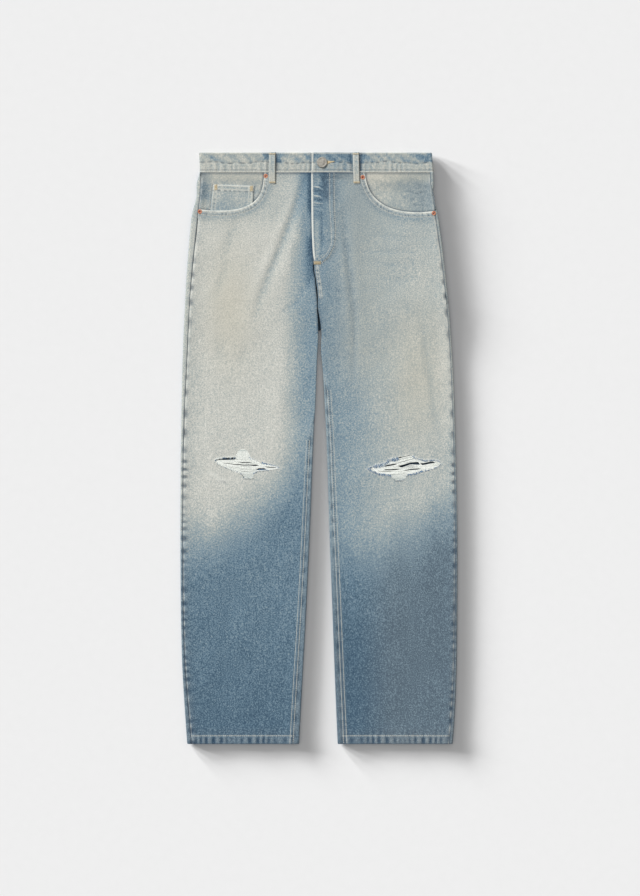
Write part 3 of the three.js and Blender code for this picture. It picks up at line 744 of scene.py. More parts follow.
# %% Denim, thread and metal
def denim_material(name, inside=False):
    """Heathered twill: ramp(fade + grain), then sand, white wear, and dark dye with painted shade over it."""
    s = Shader(name, 0.95)
    s.surface.inputs["Specular IOR Level"].default_value = 0.15
    wash = s.add("ShaderNodeAttribute", attribute_name="wash")
    parts = s.add("ShaderNodeSeparateColor", {0: wash.outputs["Color"]})
    fade, sand, worn = parts.outputs[0], parts.outputs[1], parts.outputs[2]
    dye_and_shade = wash.outputs["Alpha"]
    heather = s.noise(500, (1, 0.85, 1), 3, 0.8)
    slub = s.noise(380, (1, 0.06, 1), 2, 0.6)
    patch = s.noise(22, (1, 0.8, 1), 4, 0.6)
    grain = s.sum("ADD", s.spread(heather, 2.5), s.spread(slub, 0.25))
    quiet = s.sum("SUBTRACT", 1.16, s.sum("MULTIPLY", fade, 0.58))
    grain = s.sum("MULTIPLY", grain, quiet)
    value = s.sum("ADD", s.sum("ADD", fade, grain), s.spread(patch, 0.18))
    value = s.sum("DIVIDE", s.sum("ADD", value, 0.15), 1.4, True)
    # The reverse gets a darker ramp than denim's pale reverse: painted shade for the inside of the legs.
    if inside:
        look = s.ramp(value, [(0.1, "4a5966"), (0.46, "73838d"), (0.82, "a3adae")])
    else:
        stops = [(0.0, "40586d"), (0.107, "4e6779"), (0.286, "668092"), (0.464, "8399a6"), (0.643, "a4b0b1")]
        stops += [(0.821, "cccdc6"), (1.0, "ebebe4")]
        look = s.ramp(value, stops)
    look = s.blend(sand, look, colour("cdc4ac"))
    rubbed = s.sum("ADD", worn, s.sum("MULTIPLY", s.spread(heather, 1.2), worn), True)
    look = s.blend(rubbed, look, colour("e4e5dd"))
    # Darker by the fourth number: dye kept in seam troughs, and painted shade.
    look = s.blend(s.sum("MULTIPLY", dye_and_shade, 0.8, True), look, colour("2c4156"))
    # Past 0.86 the fourth number is painted shadow, nearly black: down the fork and under the rips.
    painted_black_shadow = s.sum("MULTIPLY", s.sum("SUBTRACT", dye_and_shade, 0.86), 8.0, True)
    look = s.blend(painted_black_shadow, look, colour("10161c"))
    s.set(s.surface.inputs["Base Color"], look)
    twill = s.add("ShaderNodeTexWave", {"Vector": s.place, "Scale": 640.0}, bands_direction="DIAGONAL")
    ribs = s.bump(twill.outputs["Fac"], 0.00012, 0.6)
    s.set(s.surface.inputs["Normal"], s.bump(heather, 0.0004, 0.8, ribs))
    return s.material


def plain_material(name, roughness, stops, scale, metallic=0.0, depth=0.0001):
    """Noise through a ramp of colours, with the same noise as a bump."""
    s = Shader(name, roughness, metallic)
    noise = s.noise(scale, detail=3.0)
    s.set(s.surface.inputs["Base Color"], s.ramp(noise, stops))
    s.set(s.surface.inputs["Normal"], s.bump(noise, depth, 0.6))
    return s.material


denim = denim_material("washed_denim")
# The reverse is painted darker as shade; it shows inside the legs, through the rips and at the rims.
denim_reverse_shaded = denim_material("washed_denim_reverse_shaded", inside=True)
thread = plain_material("seam_thread_pale", 0.85, [(0.3, "c4c4b8"), (0.7, "e8e7dc")], 900)
gold_thread = plain_material("seam_thread_gold", 0.8, [(0.3, "b89a62"), (0.7, "efe3c4")], 900)
weft = plain_material("weft_cotton", 0.95, [(0.32, "d3d9d3"), (0.58, "fafcf6")], 700)
warp = plain_material("frayed_warp", 0.95, [(0.3, "3d5c80"), (0.7, "8ba8c2")], 500)
bare = plain_material("bare_weft", 0.95, [(0.3, "bfc7c4"), (0.7, "dfe4de")], 700)
overlock = plain_material("overlock_thread", 0.9, [(0.3, "39444f"), (0.7, "66727d")], 900)
red_centre = plain_material("rivet_centre", 0.5, [(0.3, "5a2320"), (0.7, "8c3f36")], 800, 0.3)
steel = plain_material("aged_button", 0.62, [(0.3, "8b877e"), (0.7, "bcb8ae")], 260, 0.3)
copper = plain_material("copper_rivet", 0.5, [(0.3, "b0583f"), (0.7, "e3ab86")], 620, 0.3)
print("materials:", len(bpy.data.materials))

# %% [markdown]
# ## How a cloth panel is made
# A panel is a grid of points on the middle of the cloth. Its free edges are rolled under a little, as
# a folded hem or seam is, and a Solidify modifier gives it the thickness of denim.


# %% Grid tools
LIP = [(0.46, 0.19), (0.65, 0.65), (0.46, 1.11)]  # a folded edge: out and under, in mm
FOLDED_IN = LIP + [(0.0, 1.3), (-4.0, 1.35)]
HEMMED = LIP + [(0.0, 1.3), (-6.0, 1.35), (-12.0, 1.35)]


def facing_of(points, like):
    """Unit normals of a grid, all on the side that `like` says for the grid's first corner."""
    down = np.gradient(points, axis=0)
    across = np.gradient(points, axis=1)
    normal = np.cross(down, across)
    normal /= np.maximum(np.linalg.norm(normal, axis=2, keepdims=True), 1e-9)
    return normal * (1 if normal[0, 0] @ np.array(like, float) > 0 else -1)


def lipped(points, normal, start=(), end=(), axis=1):
    """Adds rows past both ends of an axis: each is the edge moved out by a and under by b."""

    def strip(edge, inner, face, lip):
        way = edge - inner
        way /= np.maximum(np.linalg.norm(way, axis=1, keepdims=True), 1e-9)
        rows = []
        for out, under in lip:
            out, under = np.broadcast_to(out, len(edge)), np.broadcast_to(under, len(edge))
            rows.append(edge + way * out[:, None] - face * under[:, None])
        return rows

    p, n = (points, normal) if axis == 0 else (points.swapaxes(0, 1), normal.swapaxes(0, 1))
    before = strip(p[0], p[1], n[0], start)[::-1]
    after = strip(p[-1], p[-2], n[-1], end)
    first, last = (np.array(rows).reshape(-1, *p.shape[1:]) for rows in (before, after))
    p = np.concatenate([first, p, last])
    n = np.concatenate([np.repeat(n[:1], len(before), 0), n, np.repeat(n[-1:], len(after), 0)])
    return (p, n) if axis == 0 else (p.swapaxes(0, 1), n.swapaxes(0, 1))


def numbered(rows, columns, ring=False):
    """The numbers of a grid's points, with the first column again at the end if the grid is a ring."""
    index = np.arange(rows * columns).reshape(rows, columns)
    return np.concatenate([index, index[:, :1]], axis=1) if ring else index


def cells(index):
    """The four corners of every cell of an index grid, one row of four for each cell."""
    return np.stack([index[:-1, :-1], index[1:, :-1], index[1:, 1:], index[:-1, 1:]], axis=-1).reshape(-1, 4)


def outwards(points, quads, normal):
    """Turns quads over so that they face the way the normals at their first corners do."""
    a, b, c, d = (points[quads[:, i]] for i in range(4))
    face = np.cross(c - a, d - b)
    wrong = np.einsum("ij,ij->i", face, normal[quads[:, 0]]).sum() < 0
    return quads[:, ::-1] if wrong else quads


def piece(name, points, faces, materials, nodes=(), wash=None, thick=0.0):
    """Makes one mesh object from points in mm, with an optional attribute of wash and painted shade and a
    thickness in mm.
    """
    mesh = bpy.data.meshes.new(name)
    mesh.from_pydata((np.asarray(points) * MM).tolist(), [], [list(map(int, face)) for face in faces])
    if wash is not None:
        layer = mesh.attributes.new("wash", "FLOAT_COLOR", "POINT")
        layer.data.foreach_set("color", np.ascontiguousarray(wash, np.float32).ravel())
    for material in materials:
        mesh.materials.append(material)
    mesh.shade_smooth()
    made = bpy.data.objects.new(name, mesh)
    bpy.context.scene.collection.objects.link(made)
    if thick:
        shell = made.modifiers.new("thickness", "SOLIDIFY")
        shell.thickness = thick * MM
        shell.offset = 0.0
        shell.material_offset = min(1, len(materials) - 1)
        shell.material_offset_rim = min(1, len(materials) - 1)
    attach(made, "root")
    if nodes:
        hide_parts(*nodes)
    return made


def washed_and_shaded(fade, sand, worn, dye_and_shade):
    """The four numbers of the wash and the painted shade side by side, kept between 0 and 1."""
    parts = [np.broadcast_to(part, np.shape(fade)).ravel() for part in (fade, sand, worn, dye_and_shade)]
    return np.clip(np.stack(parts, axis=1), 0, 1)


def denim_shell(name, node, points, quads, look):
    """A denim piece of the grid's cells. Points that no cell uses are left out."""
    used = np.unique(quads)
    order = np.full(len(points), -1)
    order[used] = np.arange(len(used))
    cloth = [denim, denim_reverse_shaded]
    return piece(name, points[used], order[quads], cloth, [node], look[used], DENIM)


print("a folded edge has", len(LIP), "rows")

# %% [markdown]
# ## Front panels
# The columns start along the waist seam and then down the pocket mouth, and spread out evenly over the
# leg below. The rows lie level on the legs. One row is the slit of the rip: the cloth above it goes up
# to the upper edge and the cloth below it goes down to the lower edge, and outside the tips the two
# stay sewn together by sharing their points.

# %% Build the front panels
FRONT_COLUMNS = 108
WAIST_SHARE = 5 / 12  # share of the columns that start on the waist seam


def stepped(top, plan):
    """Levels down from the top: for each (foot, step) of the plan, even steps of about that size."""
    levels = [np.array([top])]
    for foot, step in plan:
        levels.append(np.linspace(top, foot, max(int((top - foot) / step), 1) + 1)[1:])
        top = foot
    return np.concatenate(levels)


def front_plan(leg, levels):
    """x and y of a front panel's points: y = level - (waist - top) * (1 - s), x between its edges."""
    column = np.linspace(0, 1, FRONT_COLUMNS + 1)
    waist = WAIST_SEAM + 1
    on_waist = column <= WAIST_SHARE
    close = column / WAIST_SHARE
    close = mix(close, close**2, 0.4)
    column_below = column - 0.07 * np.sin(2 * np.pi * column)
    mouth = bezier(leg.scoop, np.clip((column - WAIST_SHARE) / (1 - WAIST_SHARE), 0, 1))
    top_x = np.where(on_waist, mix(leg.inn(waist), leg.scoop[0, 0], close), mouth[:, 0])
    top_y = np.where(on_waist, waist, mouth[:, 1])
    top_y = np.minimum(top_y, waist)
    fallen = 1 - smooth(waist - levels, 0, 250)
    y = levels[:, None] - (waist - top_y)[None, :] * fallen[:, None]
    first = (top_x - leg.inn(top_y)) / (leg.out(top_y) - leg.inn(top_y))
    share = mix(first[None, :], column_below[None, :], smooth(top_y[None, :] - y, 0, 170))
    return mix(leg.inn(y), leg.out(y), share), y


def front_panel(leg):
    """One front panel as a shell with a slit, rolled edges, and its wash and painted shade."""
    level = RIPS[leg.name].level
    above = stepped(WAIST_SEAM + 1, [(430, 1.15), (388, 2.2), (level + 16, 3.3), (level, 1.3)])
    below = stepped(level, [(level - 26, 1.3), (HEM + 24, 3.3), (HEM, 1.2)])
    parts = []
    for upper, levels in ((True, above), (False, below)):
        x, y = front_plan(leg, levels)
        y = open_slit(leg, x, y, upper)
        z, worn, dye_and_shade, wear_and_shade = front_cloth(leg, x, y)
        parts.append([np.stack([x, y, z], axis=2), worn, dye_and_shade, wear_and_shade])
    points = np.concatenate([parts[0][0], parts[1][0]])
    worn = np.concatenate([parts[0][1], parts[1][1]])
    dye_and_shade = np.concatenate([parts[0][2], parts[1][2]])
    wear_and_shade = np.concatenate([parts[0][3], parts[1][3]])
    curl = bell(np.abs(points[:, :, 1] - rip_edge(leg, points[:, :, 0], "upper")), 2.5)
    tips = RIPS[leg.name].upper[0][0], RIPS[leg.name].upper[-1][0]
    points[:, :, 2] += 0.35 * curl * ((points[:, :, 0] > tips[0]) & (points[:, :, 0] < tips[1]))

    normal = facing_of(points, (0, 0, 1))
    y = points[:, 0, 1]
    tucked = smooth(y, 322, 340) if leg.side < 0 else np.zeros(len(y))
    under_fly = [(0.7, 0.3), (2.0, 0.9), (4.0, 1.0), (6.0, 1.0), (8.0, 1.0)]
    inner = [(mix(a[0], b[0], tucked), mix(a[1], b[1], tucked)) for a, b in zip(FOLDED_IN, under_fly)]
    points, normal = lipped(points, normal, inner, LIP, axis=1)
    corner = len(inner) + int(WAIST_SHARE * FRONT_COLUMNS)
    on_mouth = smooth(np.arange(points.shape[1]), corner - 2, corner + 6)
    top = [(mix(0.6 * i, a[0], on_mouth), mix(0.0, a[1], on_mouth)) for i, a in enumerate(FOLDED_IN, 1)]
    points, normal = lipped(points, normal, top, HEMMED, axis=0)
    grow = ((len(top), len(HEMMED)), (len(inner), len(LIP)))
    worn, dye_and_shade, wear_and_shade = (np.pad(part, grow, mode="edge") for part in (worn, dye_and_shade, wear_and_shade))

    split = len(top) + len(above)  # first row of the lower part
    index = numbered(*points.shape[:2])
    gap = np.abs(points[split, :, 1] - points[split - 1, :, 1]) > 0.05
    lower = index[split:].copy()
    lower[0] = np.where(gap, index[split], index[split - 1])
    quads = np.concatenate([cells(index[:split]), cells(lower)])
    flat, facing = points.reshape(-1, 3), normal.reshape(-1, 3)
    quads = outwards(flat, quads, facing)
    x, y = flat[:, 0], flat[:, 1]
    fade, sand = front_wash_and_shade(leg, x, y)
    white = worn.ravel() + worn_at_rips(leg, x, y)
    look = washed_and_shaded(fade + wear_and_shade.ravel(), sand, white, dye_and_shade.ravel())
    return denim_shell(f"denim_front_{leg.name}", f"front_{leg.name}", flat, quads, look)


fronts = [front_panel(leg) for leg in LEGS]
for made in fronts:
    print(made.name, len(made.data.polygons), "cells")

# %% [markdown]
# ## Back panels and yokes
# The back panel is wider than the front, so it folds over both edges of the leg and meets the front in
# a seam a little way in. Its section runs from the inseam over the inner fold, along the floor, over
# the outer fold and on to the side seam. On the hips only the outer fold is there, and the seat seam
# joins the two panels. The cloth seen through a rip and down the fork lies in deep shade, and that
# shade is painted on it, nearly black.

# %% Build the back panels
FOLD_STEPS = 7
WRAP_STEPS = 5
FLOOR_STEPS = 38
FLOOR_START = FOLD_STEPS + WRAP_STEPS
BACK_ROWS = 250
YOKE_ROWS = 14
YOKE_CENTRE = 425.0
YOKE_SIDE = 455.0


def back_base(y):
    """Height of the back cloth's middle: on the floor at the legs, above the pockets at the seat."""
    return mix(BACK_HEIGHT, SEAT_HEIGHT, smooth(y, 190, 250))


def seat_line(y):
    """x of the line where the two back panels meet: under the edge of the lap, then down the fork."""
    return mix(lap_edge(y) + 0.8, -7.5, smooth(y, 345, 375))


def back_section(leg, y):
    """x and z of the section at heights y. A fold is half a circle between the two layers."""
    y = np.asarray(y, float)
    side, hides = leg.side, leg.hides(y)
    low, high = back_base(y), side_height(y) - 0.1
    tucked = high - 1.6 * hides
    radius, small = (high - low) / 2, (tucked - low) / 2
    outer_turn = leg.outer(y) - side * (radius + DENIM / 2)
    inner_turn = leg.inner(y) + side * (small + DENIM / 2)
    inner_seam = mix(leg.inn(y) - side * 1.6, inner_turn + side * 3.0, hides)
    outer_seam = leg.out(y) + side * 1.6
    xs, zs = [], []
    for i in range(WRAP_STEPS):
        xs.append(mix(inner_seam, inner_turn, i / WRAP_STEPS))
        zs.append(tucked)
    for i in range(FOLD_STEPS):
        angle = np.pi * (0.5 - i / FOLD_STEPS)
        xs.append(inner_turn - side * small * np.cos(angle))
        zs.append((low + tucked) / 2 + small * np.sin(angle))
    start = np.where(y > FORK_FOOT, seat_line(y) + side * 0.3, inner_turn)
    for i in range(FLOOR_STEPS + 1):
        xs.append(mix(start, outer_turn, i / FLOOR_STEPS))
        zs.append(low)
    for i in range(1, FOLD_STEPS + 1):
        angle = np.pi * (i / FOLD_STEPS - 0.5)
        xs.append(outer_turn + side * radius * np.cos(angle))
        zs.append((low + high) / 2 + radius * np.sin(angle))
    for i in range(1, WRAP_STEPS + 1):
        xs.append(mix(outer_turn, outer_seam, i / WRAP_STEPS))
        zs.append(high)
    return np.array(xs), np.array(zs)


def back_points(leg, heights):
    """Points of the back layer for a grid of heights, one row of the grid for each row of heights."""
    rows, columns = heights.shape
    points = np.empty((rows, columns, 3))
    for column in range(columns):
        xs, zs = back_section(leg, heights[:, column])
        points[:, column] = np.stack([xs[column], heights[:, column], zs[column]], axis=1)
    return points


def back_columns():
    """Number of columns of a back section."""
    return WRAP_STEPS + FOLD_STEPS + FLOOR_STEPS + 1 + FOLD_STEPS + WRAP_STEPS


def yoke_seam(column):
    """Height of the yoke seam: a straight line from the centre back up to the side."""
    return mix(YOKE_CENTRE, YOKE_SIDE, np.clip((column - FLOOR_START) / FLOOR_STEPS, 0, 1))


def back_piece(leg, name, node, heights, bottom):
    """A shell on the back layer, without its inner fold above the crotch, with rolled edges."""
    points = back_points(leg, heights)
    x, y, z = points[:, :, 0], points[:, :, 1], points[:, :, 2]
    top_side = smooth(z, front_base(y) * 0.6, front_base(y))
    worn, dye_and_shade = np.zeros(x.shape), np.zeros(x.shape)
    rise = np.zeros(x.shape)
    for row in leg.seams[:3]:
        gap, along = near(x, y, row.path, 14)
        wave = ripple(along, row.pitch, row.seed)
        rise += row.pucker * wave * bell(gap, row.reach) * top_side
        worn += row.worn * (0.5 + 0.5 * wave) * bell(gap, row.reach) * top_side
        # The troughs of the puckers are darker: partly dye that the wash missed, partly painted shade.
        dye_and_shade += row.dye_and_shade * np.clip(0.2 - wave, 0, 1) * bell(gap, row.reach * 0.5) * top_side
    points[:, :, 2] += rise + 0.12 * rolling(x, y, 60, 11) * (1 - top_side) * smooth(x * leg.side, 0, 30)
    normal = facing_of(points, (0, 0, 1))
    middle = normal[len(normal) // 2, FLOOR_START + FLOOR_STEPS // 2, 2]
    normal = normal * (-1 if middle > 0 else 1)
    points, normal = lipped(points, normal, LIP, LIP, axis=1)
    points, normal = lipped(points, normal, [], bottom, axis=0)
    grow = ((0, len(bottom)), (len(LIP), len(LIP)))
    worn, dye_and_shade = np.pad(worn, grow, mode="edge"), np.pad(dye_and_shade, grow, mode="edge")
    top_side = np.pad(top_side, grow, mode="edge")
    index = numbered(*points.shape[:2])
    keep_column = np.arange(index.shape[1] - 1) >= FLOOR_START + len(LIP)
    keep = keep_column[None, :] | (points[1:, 0, 1] <= FORK_FOOT)[:, None]
    quads = cells(index)[keep.ravel()]
    flat = points.reshape(-1, 3)
    quads = outwards(flat, quads, normal.reshape(-1, 3))
    x, y = flat[:, 0], flat[:, 1]
    over = top_side.ravel()
    front_fade, front_sand = front_wash_and_shade(leg, x, y)
    back_fade, back_sand = wash_back(x, y)
    fade = mix(back_fade, 0.93 * front_fade, over)
    # Painted shade, nearly black, on the back cloth seen through the rips.
    shade_under_rips = bell(y + 34, 40) * bell(np.abs(x) - 145, 70)
    # Painted shade, nearly black, down the fork between the legs.
    fork_shade = bell(x - seat_line(y), 9) * smooth(y, FORK_FOOT - 4, FORK_FOOT + 1) * (1 - smooth(y, 350, 370))
    # Painted shade on the back's wrap just beside the edge of the front.
    shade_beside_front_edge = bell(leg.side * (x - leg.out(y)) - 1.4, 1.0)
    # Top side: dye in pucker troughs with painted shade; inside: the painted near-black shade.
    kept = np.minimum(dye_and_shade.ravel() + 0.75 * shade_beside_front_edge, 0.85) * over + (0.93 * shade_under_rips + fork_shade) * (1 - over)
    look = washed_and_shaded(fade, mix(back_sand, front_sand + 0.06, over), worn.ravel(), kept)
    return denim_shell(name, node, flat, quads, look)


backs, yokes = [], []
for leg in LEGS:
    columns = np.arange(back_columns())
    levels = np.linspace(YOKE_SIDE, HEM, BACK_ROWS)[:, None]
    dip = (YOKE_SIDE - yoke_seam(columns))[None, :] * (1 - smooth(YOKE_SIDE - levels, 0, 105))
    backs.append(back_piece(leg, f"denim_back_{leg.name}", f"back_{leg.name}", levels - dip, HEMMED))
    share = np.linspace(0, 1, YOKE_ROWS)[:, None]
    heights = mix(WAIST_SEAM + 1, yoke_seam(columns)[None, :] + 0.4, share)
    yokes.append(back_piece(leg, f"denim_yoke_{leg.name}", f"yoke_{leg.name}", heights, LIP))
for made in backs + yokes:
    print(made.name, len(made.data.polygons), "cells")

# %% [markdown]
# ## Pockets
# A front pocket's mouth shows the facing, a piece of denim sewn to the pocket bag behind. The wearer's
# right facing carries the coin pocket. The patch pockets are on the seat, under the back panels.

# %% Build the pockets
FACING_END = {"right": -84.0, "left": 68.0}
FACING_FOOT = 406.0
COIN_CORNERS = [(-189.4, 473.6), (-117.8, 470.6), (-121.6, 424), (-195, 420)]
BACK_POCKET = [(-76, 0), (76, 0), (68, -142), (0, -168), (-68, -142)]
BACK_POCKET_X = 108.0
BACK_POCKET_Y = 425.0
BACK_POCKET_TILT = 0.05
POCKET_POINTS = 41  # points each way on a back pocket


def flat_panel(name, node, corners, height, like, look_at, lips, size=(30, 24)):
    """A shell between four corners, rows from the first edge to the last: corners run round it."""
    a, b, c, d = np.asarray(corners, float)
    across = np.linspace(0, 1, size[0] + 1)[None, :, None]
    down = np.linspace(0, 1, size[1] + 1)[:, None, None]
    plan = mix(mix(a, b, across), mix(d, c, across), down)
    x, y = plan[:, :, 0], plan[:, :, 1]
    points = np.stack([x, y, height(x, y)], axis=2)
    normal = facing_of(points, like)
    points, normal = lipped(points, normal, lips[0], lips[1], axis=1)
    points, normal = lipped(points, normal, lips[2], lips[3], axis=0)
    flat = points.reshape(-1, 3)
    quads = outwards(flat, cells(numbered(*points.shape[:2])), normal.reshape(-1, 3))
    return denim_shell(name, node, flat, quads, look_at(flat[:, 0], flat[:, 1]))


def facing_wash_and_shade(leg):
    """A facing is greyer and less faded than the thigh, with painted shade along the mouth and under the
    waistband.
    """

    def look(x, y):
        mouth, _ = near(x, y, scoop_path(leg), 30)
        # Painted shade along the pocket mouth and under the waistband.
        dye_and_shade = 0.85 * bell(mouth - 1.0, 2.6) + 0.6 * bell(y - WAIST_SEAM + 1.8, 2.0)
        if leg.side < 0:
            fade = 0.82 - 0.5 * bell(x + 209, 12) * smooth(y, 436, 455)
            fade = fade - 0.1 * bell(y - 478, 5) * smooth(x, -200, -180)
            # Painted shade lines just outside the two sides of the coin pocket.
            for path in ([(-191, 473), (-196.5, 424)], [(-116, 470), (-119.5, 430)]):
                gap, along = near(x, y, path, 12)
                dye_and_shade = dye_and_shade + (0.55 + 0.3 * ripple(along, 9, 1.0)) * bell(gap, 1.8)
            sand = 0.12 + 0.2 * smooth(y, 470, 486)
        else:
            fade = np.interp(x, [90, 120, 145, 181, 210], [0.84, 0.8, 0.64, 0.46, 0.44])
            fade = fade + 0.16 * smooth(y, 470, 490)
            sand = 0.2 + 0.15 * smooth(y, 470, 488)
            # These wrinkles are only painted: a line of painted shade with painted highlights beside it.
            painted_wrinkles = [[(160, 462), (178, 458), (192, 461)], [(150, 452), (172, 448)]]
            for path in painted_wrinkles + [[(170, 438), (196, 436)]]:
                gap, _ = near(x, y, path, 12)
                fade = fade - 0.14 * bell(gap, 2.6) + 0.08 * bell(gap - 4, 2)
        at_side = bell(leg.side * (leg.out(y) - x) - 0.5, 1.4)
        fade = fade + 0.04 * rolling(x, y, 40, 21) + 0.05 * rolling(x, y, 12, 22)
        return washed_and_shaded(fade, sand, 0.6 * at_side * (0.4 + 0.8 * ripple(y, 19, 3.0)), np.minimum(dye_and_shade, 0.85))

    return look


def coin_height(x, y):
    """The coin pocket lies on the facing and stands off a little at its mouth."""
    return COIN_HEIGHT + 0.35 * smooth(y, 455, 471) + 0.1 * rolling(x, y, 20, 31)


def coin_wash_and_shade(x, y):
    """The coin pocket is paler at its folded mouth and down its sides, and bluer at its foot."""
    drop = mix(473.6, 470.6, (x + 189.4) / 71.6) - y
    from_left = x - mix(-195, -189.4, (y - 420) / 53.6)
    from_right = mix(-121.6, -117.8, (y - 424) / 46.6) - x
    sides = bell(from_left - 1.5, 1.4) + bell(from_right - 1.5, 1.4)
    rows = bell(drop - 1.2, 1.4) + bell(drop - 8.2, 1.1) + 0.6 * sides
    rows = rows + 0.45 * (bell(from_left - 7.5, 1.2) + bell(from_right - 7.5, 1.2))
    # A line of painted shade under the hem of the mouth.
    under = bell(drop - 10.2, 1.3) * np.clip(0.5 + ripple(x, 9, 2.0), 0, 1)
    dots = bell(from_left - 4.5, 2.2) * np.clip(-0.1 - ripple(y, 7, 1.0), 0, 1)
    fade = 0.76 - 0.16 * smooth(drop, 22, 46) + 0.03 * rolling(x, y, 25, 32) + 0.04 * rolling(x, y, 9, 33)
    return washed_and_shaded(fade, 0.12, 0.75 * rows, 0.7 * under + 0.8 * dots)


facings = []
for leg in LEGS:
    end = FACING_END[leg.name]
    foot = (float(leg.out(415)), FACING_FOOT + 6)
    corners = [(float(leg.out(495)), 498), (end, 498), (end, FACING_FOOT), foot]

    def facing_height(x, y):
        """Level, with the slight unevenness of a pocket that was smoothed by hand."""
        to_side = leg.side * (leg.out(y) - x)
        rise = mix(FACING_HEIGHT, side_height(y) - 0.3, bell(np.maximum(to_side, 0), 9))
        rise = mix(rise, BAND_FRONT - 0.2, smooth(y, 458, 493))
        return rise + 0.2 * rolling(x, y, 45, 23) * (1 - smooth(y, 474, 492))

    facings.append(
        flat_panel(f"denim_facing_{leg.name}", f"pocket_facing_{leg.name}", corners, facing_height, (0, 0, 1),
                   facing_wash_and_shade(leg), [LIP, [], [], []], (100, 72))
    )
coin = flat_panel("denim_coin_pocket", "coin_pocket", COIN_CORNERS, coin_height, (0, 0, 1), coin_wash_and_shade,
                  [LIP, LIP, LIP + [(0, 1.25), (-6, 1.3)], []], (70, 50))


def pocket_outline(leg):
    """The five corners of a back pocket, turned a little so that its mouth follows the yoke."""
    turn = leg.side * BACK_POCKET_TILT
    x, y = np.array(BACK_POCKET, float).T
    across = x * math.cos(turn) - y * math.sin(turn)
    down = x * math.sin(turn) + y * math.cos(turn)
    return np.stack([across - 5.5 + leg.side * BACK_POCKET_X, down + BACK_POCKET_Y], axis=1)


def back_pocket(leg):
    """A patch with a straight mouth and a pointed foot, as a grid whose last row bends to the point."""
    a, b, c, point, d = pocket_outline(leg)
    share = np.linspace(0, 1, POCKET_POINTS)
    across = share[:, None]
    foot = np.where(across < 0.5, mix(d, point, across * 2), mix(point, c, across * 2 - 1))
    plan = mix(mix(a, b, across)[None], foot[None], share[:, None, None])
    x, y = plan[:, :, 0], plan[:, :, 1]
    points = np.stack([x, y, np.full(x.shape, 0.75) + 0.1 * rolling(x, y, 50, 41)], axis=2)
    normal = facing_of(points, (0, 0, -1)).reshape(-1, 3)
    flat = points.reshape(-1, 3)
    quads = outwards(flat, cells(numbered(*x.shape)), normal)
    fade, sand = wash_back(x, y)
    rim = np.minimum(np.minimum(share, 1 - share)[None, :], share[:, None])
    look = washed_and_shaded(fade + 0.12, sand, 0.4 * bell(rim, 0.03), 0.0)
    return denim_shell(f"denim_back_pocket_{leg.name}", f"back_pocket_{leg.name}", flat, quads, look)


back_pockets = [back_pocket(leg) for leg in LEGS]
print("pocket pieces:", len(facings) + len(back_pockets) + 1)

# %% [markdown]
# ## Waistband
# The waistband is one folded strip. It starts under the button, runs round the wearer's right side and
# the back, and comes home over its own start. Each place on the strip has the same section: two plies
# with rounded upper and lower edges. The stitching draws it up into small ridges, and a crease along
# its middle shows where it bends over the seam allowance inside.

# %% Build the waistband
BAND_HALF = 210.0
LAP_END = -13.0
LAP_LIE = 30.0
LAP_RISE = 62.0
UNDERLAP_END = 24.0
BAND_STEP = 1.35  # between the sections along the strip
FACE_ROWS = 28  # rows across the outer face, where the puckers are
INNER_ROWS = 6


def band_line():
    """x and z along the strip's middle: front run, outer fold, back run, outer fold, and the lap."""
    radius = (BAND_FRONT - BAND_BACK) / 2
    turn = BAND_HALF - BAND / 2 - radius
    middle = (BAND_FRONT + BAND_BACK) / 2
    angle = np.linspace(0, np.pi, 13)
    first = np.stack([-turn - radius * np.sin(angle), middle + radius * np.cos(angle)], axis=1)
    second = np.stack([turn + radius * np.sin(angle), middle - radius * np.cos(angle)], axis=1)
    x = np.linspace(LAP_RISE, LAP_LIE, 12)
    ramp = np.stack([x, mix(BAND_LAP, BAND_FRONT, smooth(x, LAP_LIE, LAP_RISE))], axis=1)
    start, end = (UNDERLAP_END, BAND_FRONT), (LAP_END, BAND_LAP)
    path = np.concatenate([[start], first, second, [(LAP_RISE + 1, BAND_FRONT)], ramp[1:], [end]])
    return spaced(path, BAND_STEP)


def band_place(x, y):
    """x of the strip stretched to the garment's outline at the height y."""
    middle = (right.outer(y) + left.outer(y)) / 2
    half = (left.outer(y) - right.outer(y)) / 2
    return mix(x, middle + x * half / BAND_HALF, np.minimum(np.abs(x) / BAND_HALF, 1) ** 2)


def band_crease(x):
    """Height of the wandering crease along the waistband's middle."""
    return 512.6 + 1.5 * np.sin(x / 17 + 0.7) + 0.8 * np.sin(x / 6.1)


def band_relief(x, y):
    """Puckers of a waistband: along both stitched edges, and a wavy crease at its middle."""
    above = y - band_crease(x)
    low = bell(y - WAIST_SEAM - 3, 5) * ripple(x, 7.5, 1.0)
    high = bell(y - WAIST_TOP + 2, 4) * ripple(x, 8.5, 2.0)
    below = smooth(y, WAIST_SEAM, WAIST_SEAM + 5) * smooth(-above, 0, 4) * ripple(x, 11.0, 3.0)
    lean = np.sin((x + 1.3 * y) / 4.2 + 2 * np.sin(x / 19)) * smooth(above, 0, 5)
    strength = 0.6 + 0.4 * np.sin(x / 23 + 1.3)
    crease = strength * bell(above, 1.7) - 0.5 * strength * bell(above + 3.4, 2.0)
    puckers = 0.25 * low + 0.25 * high + 0.42 * below + 0.14 * lean
    return puckers - 0.55 * crease + 0.12 * rolling(x, y, 30, 51)


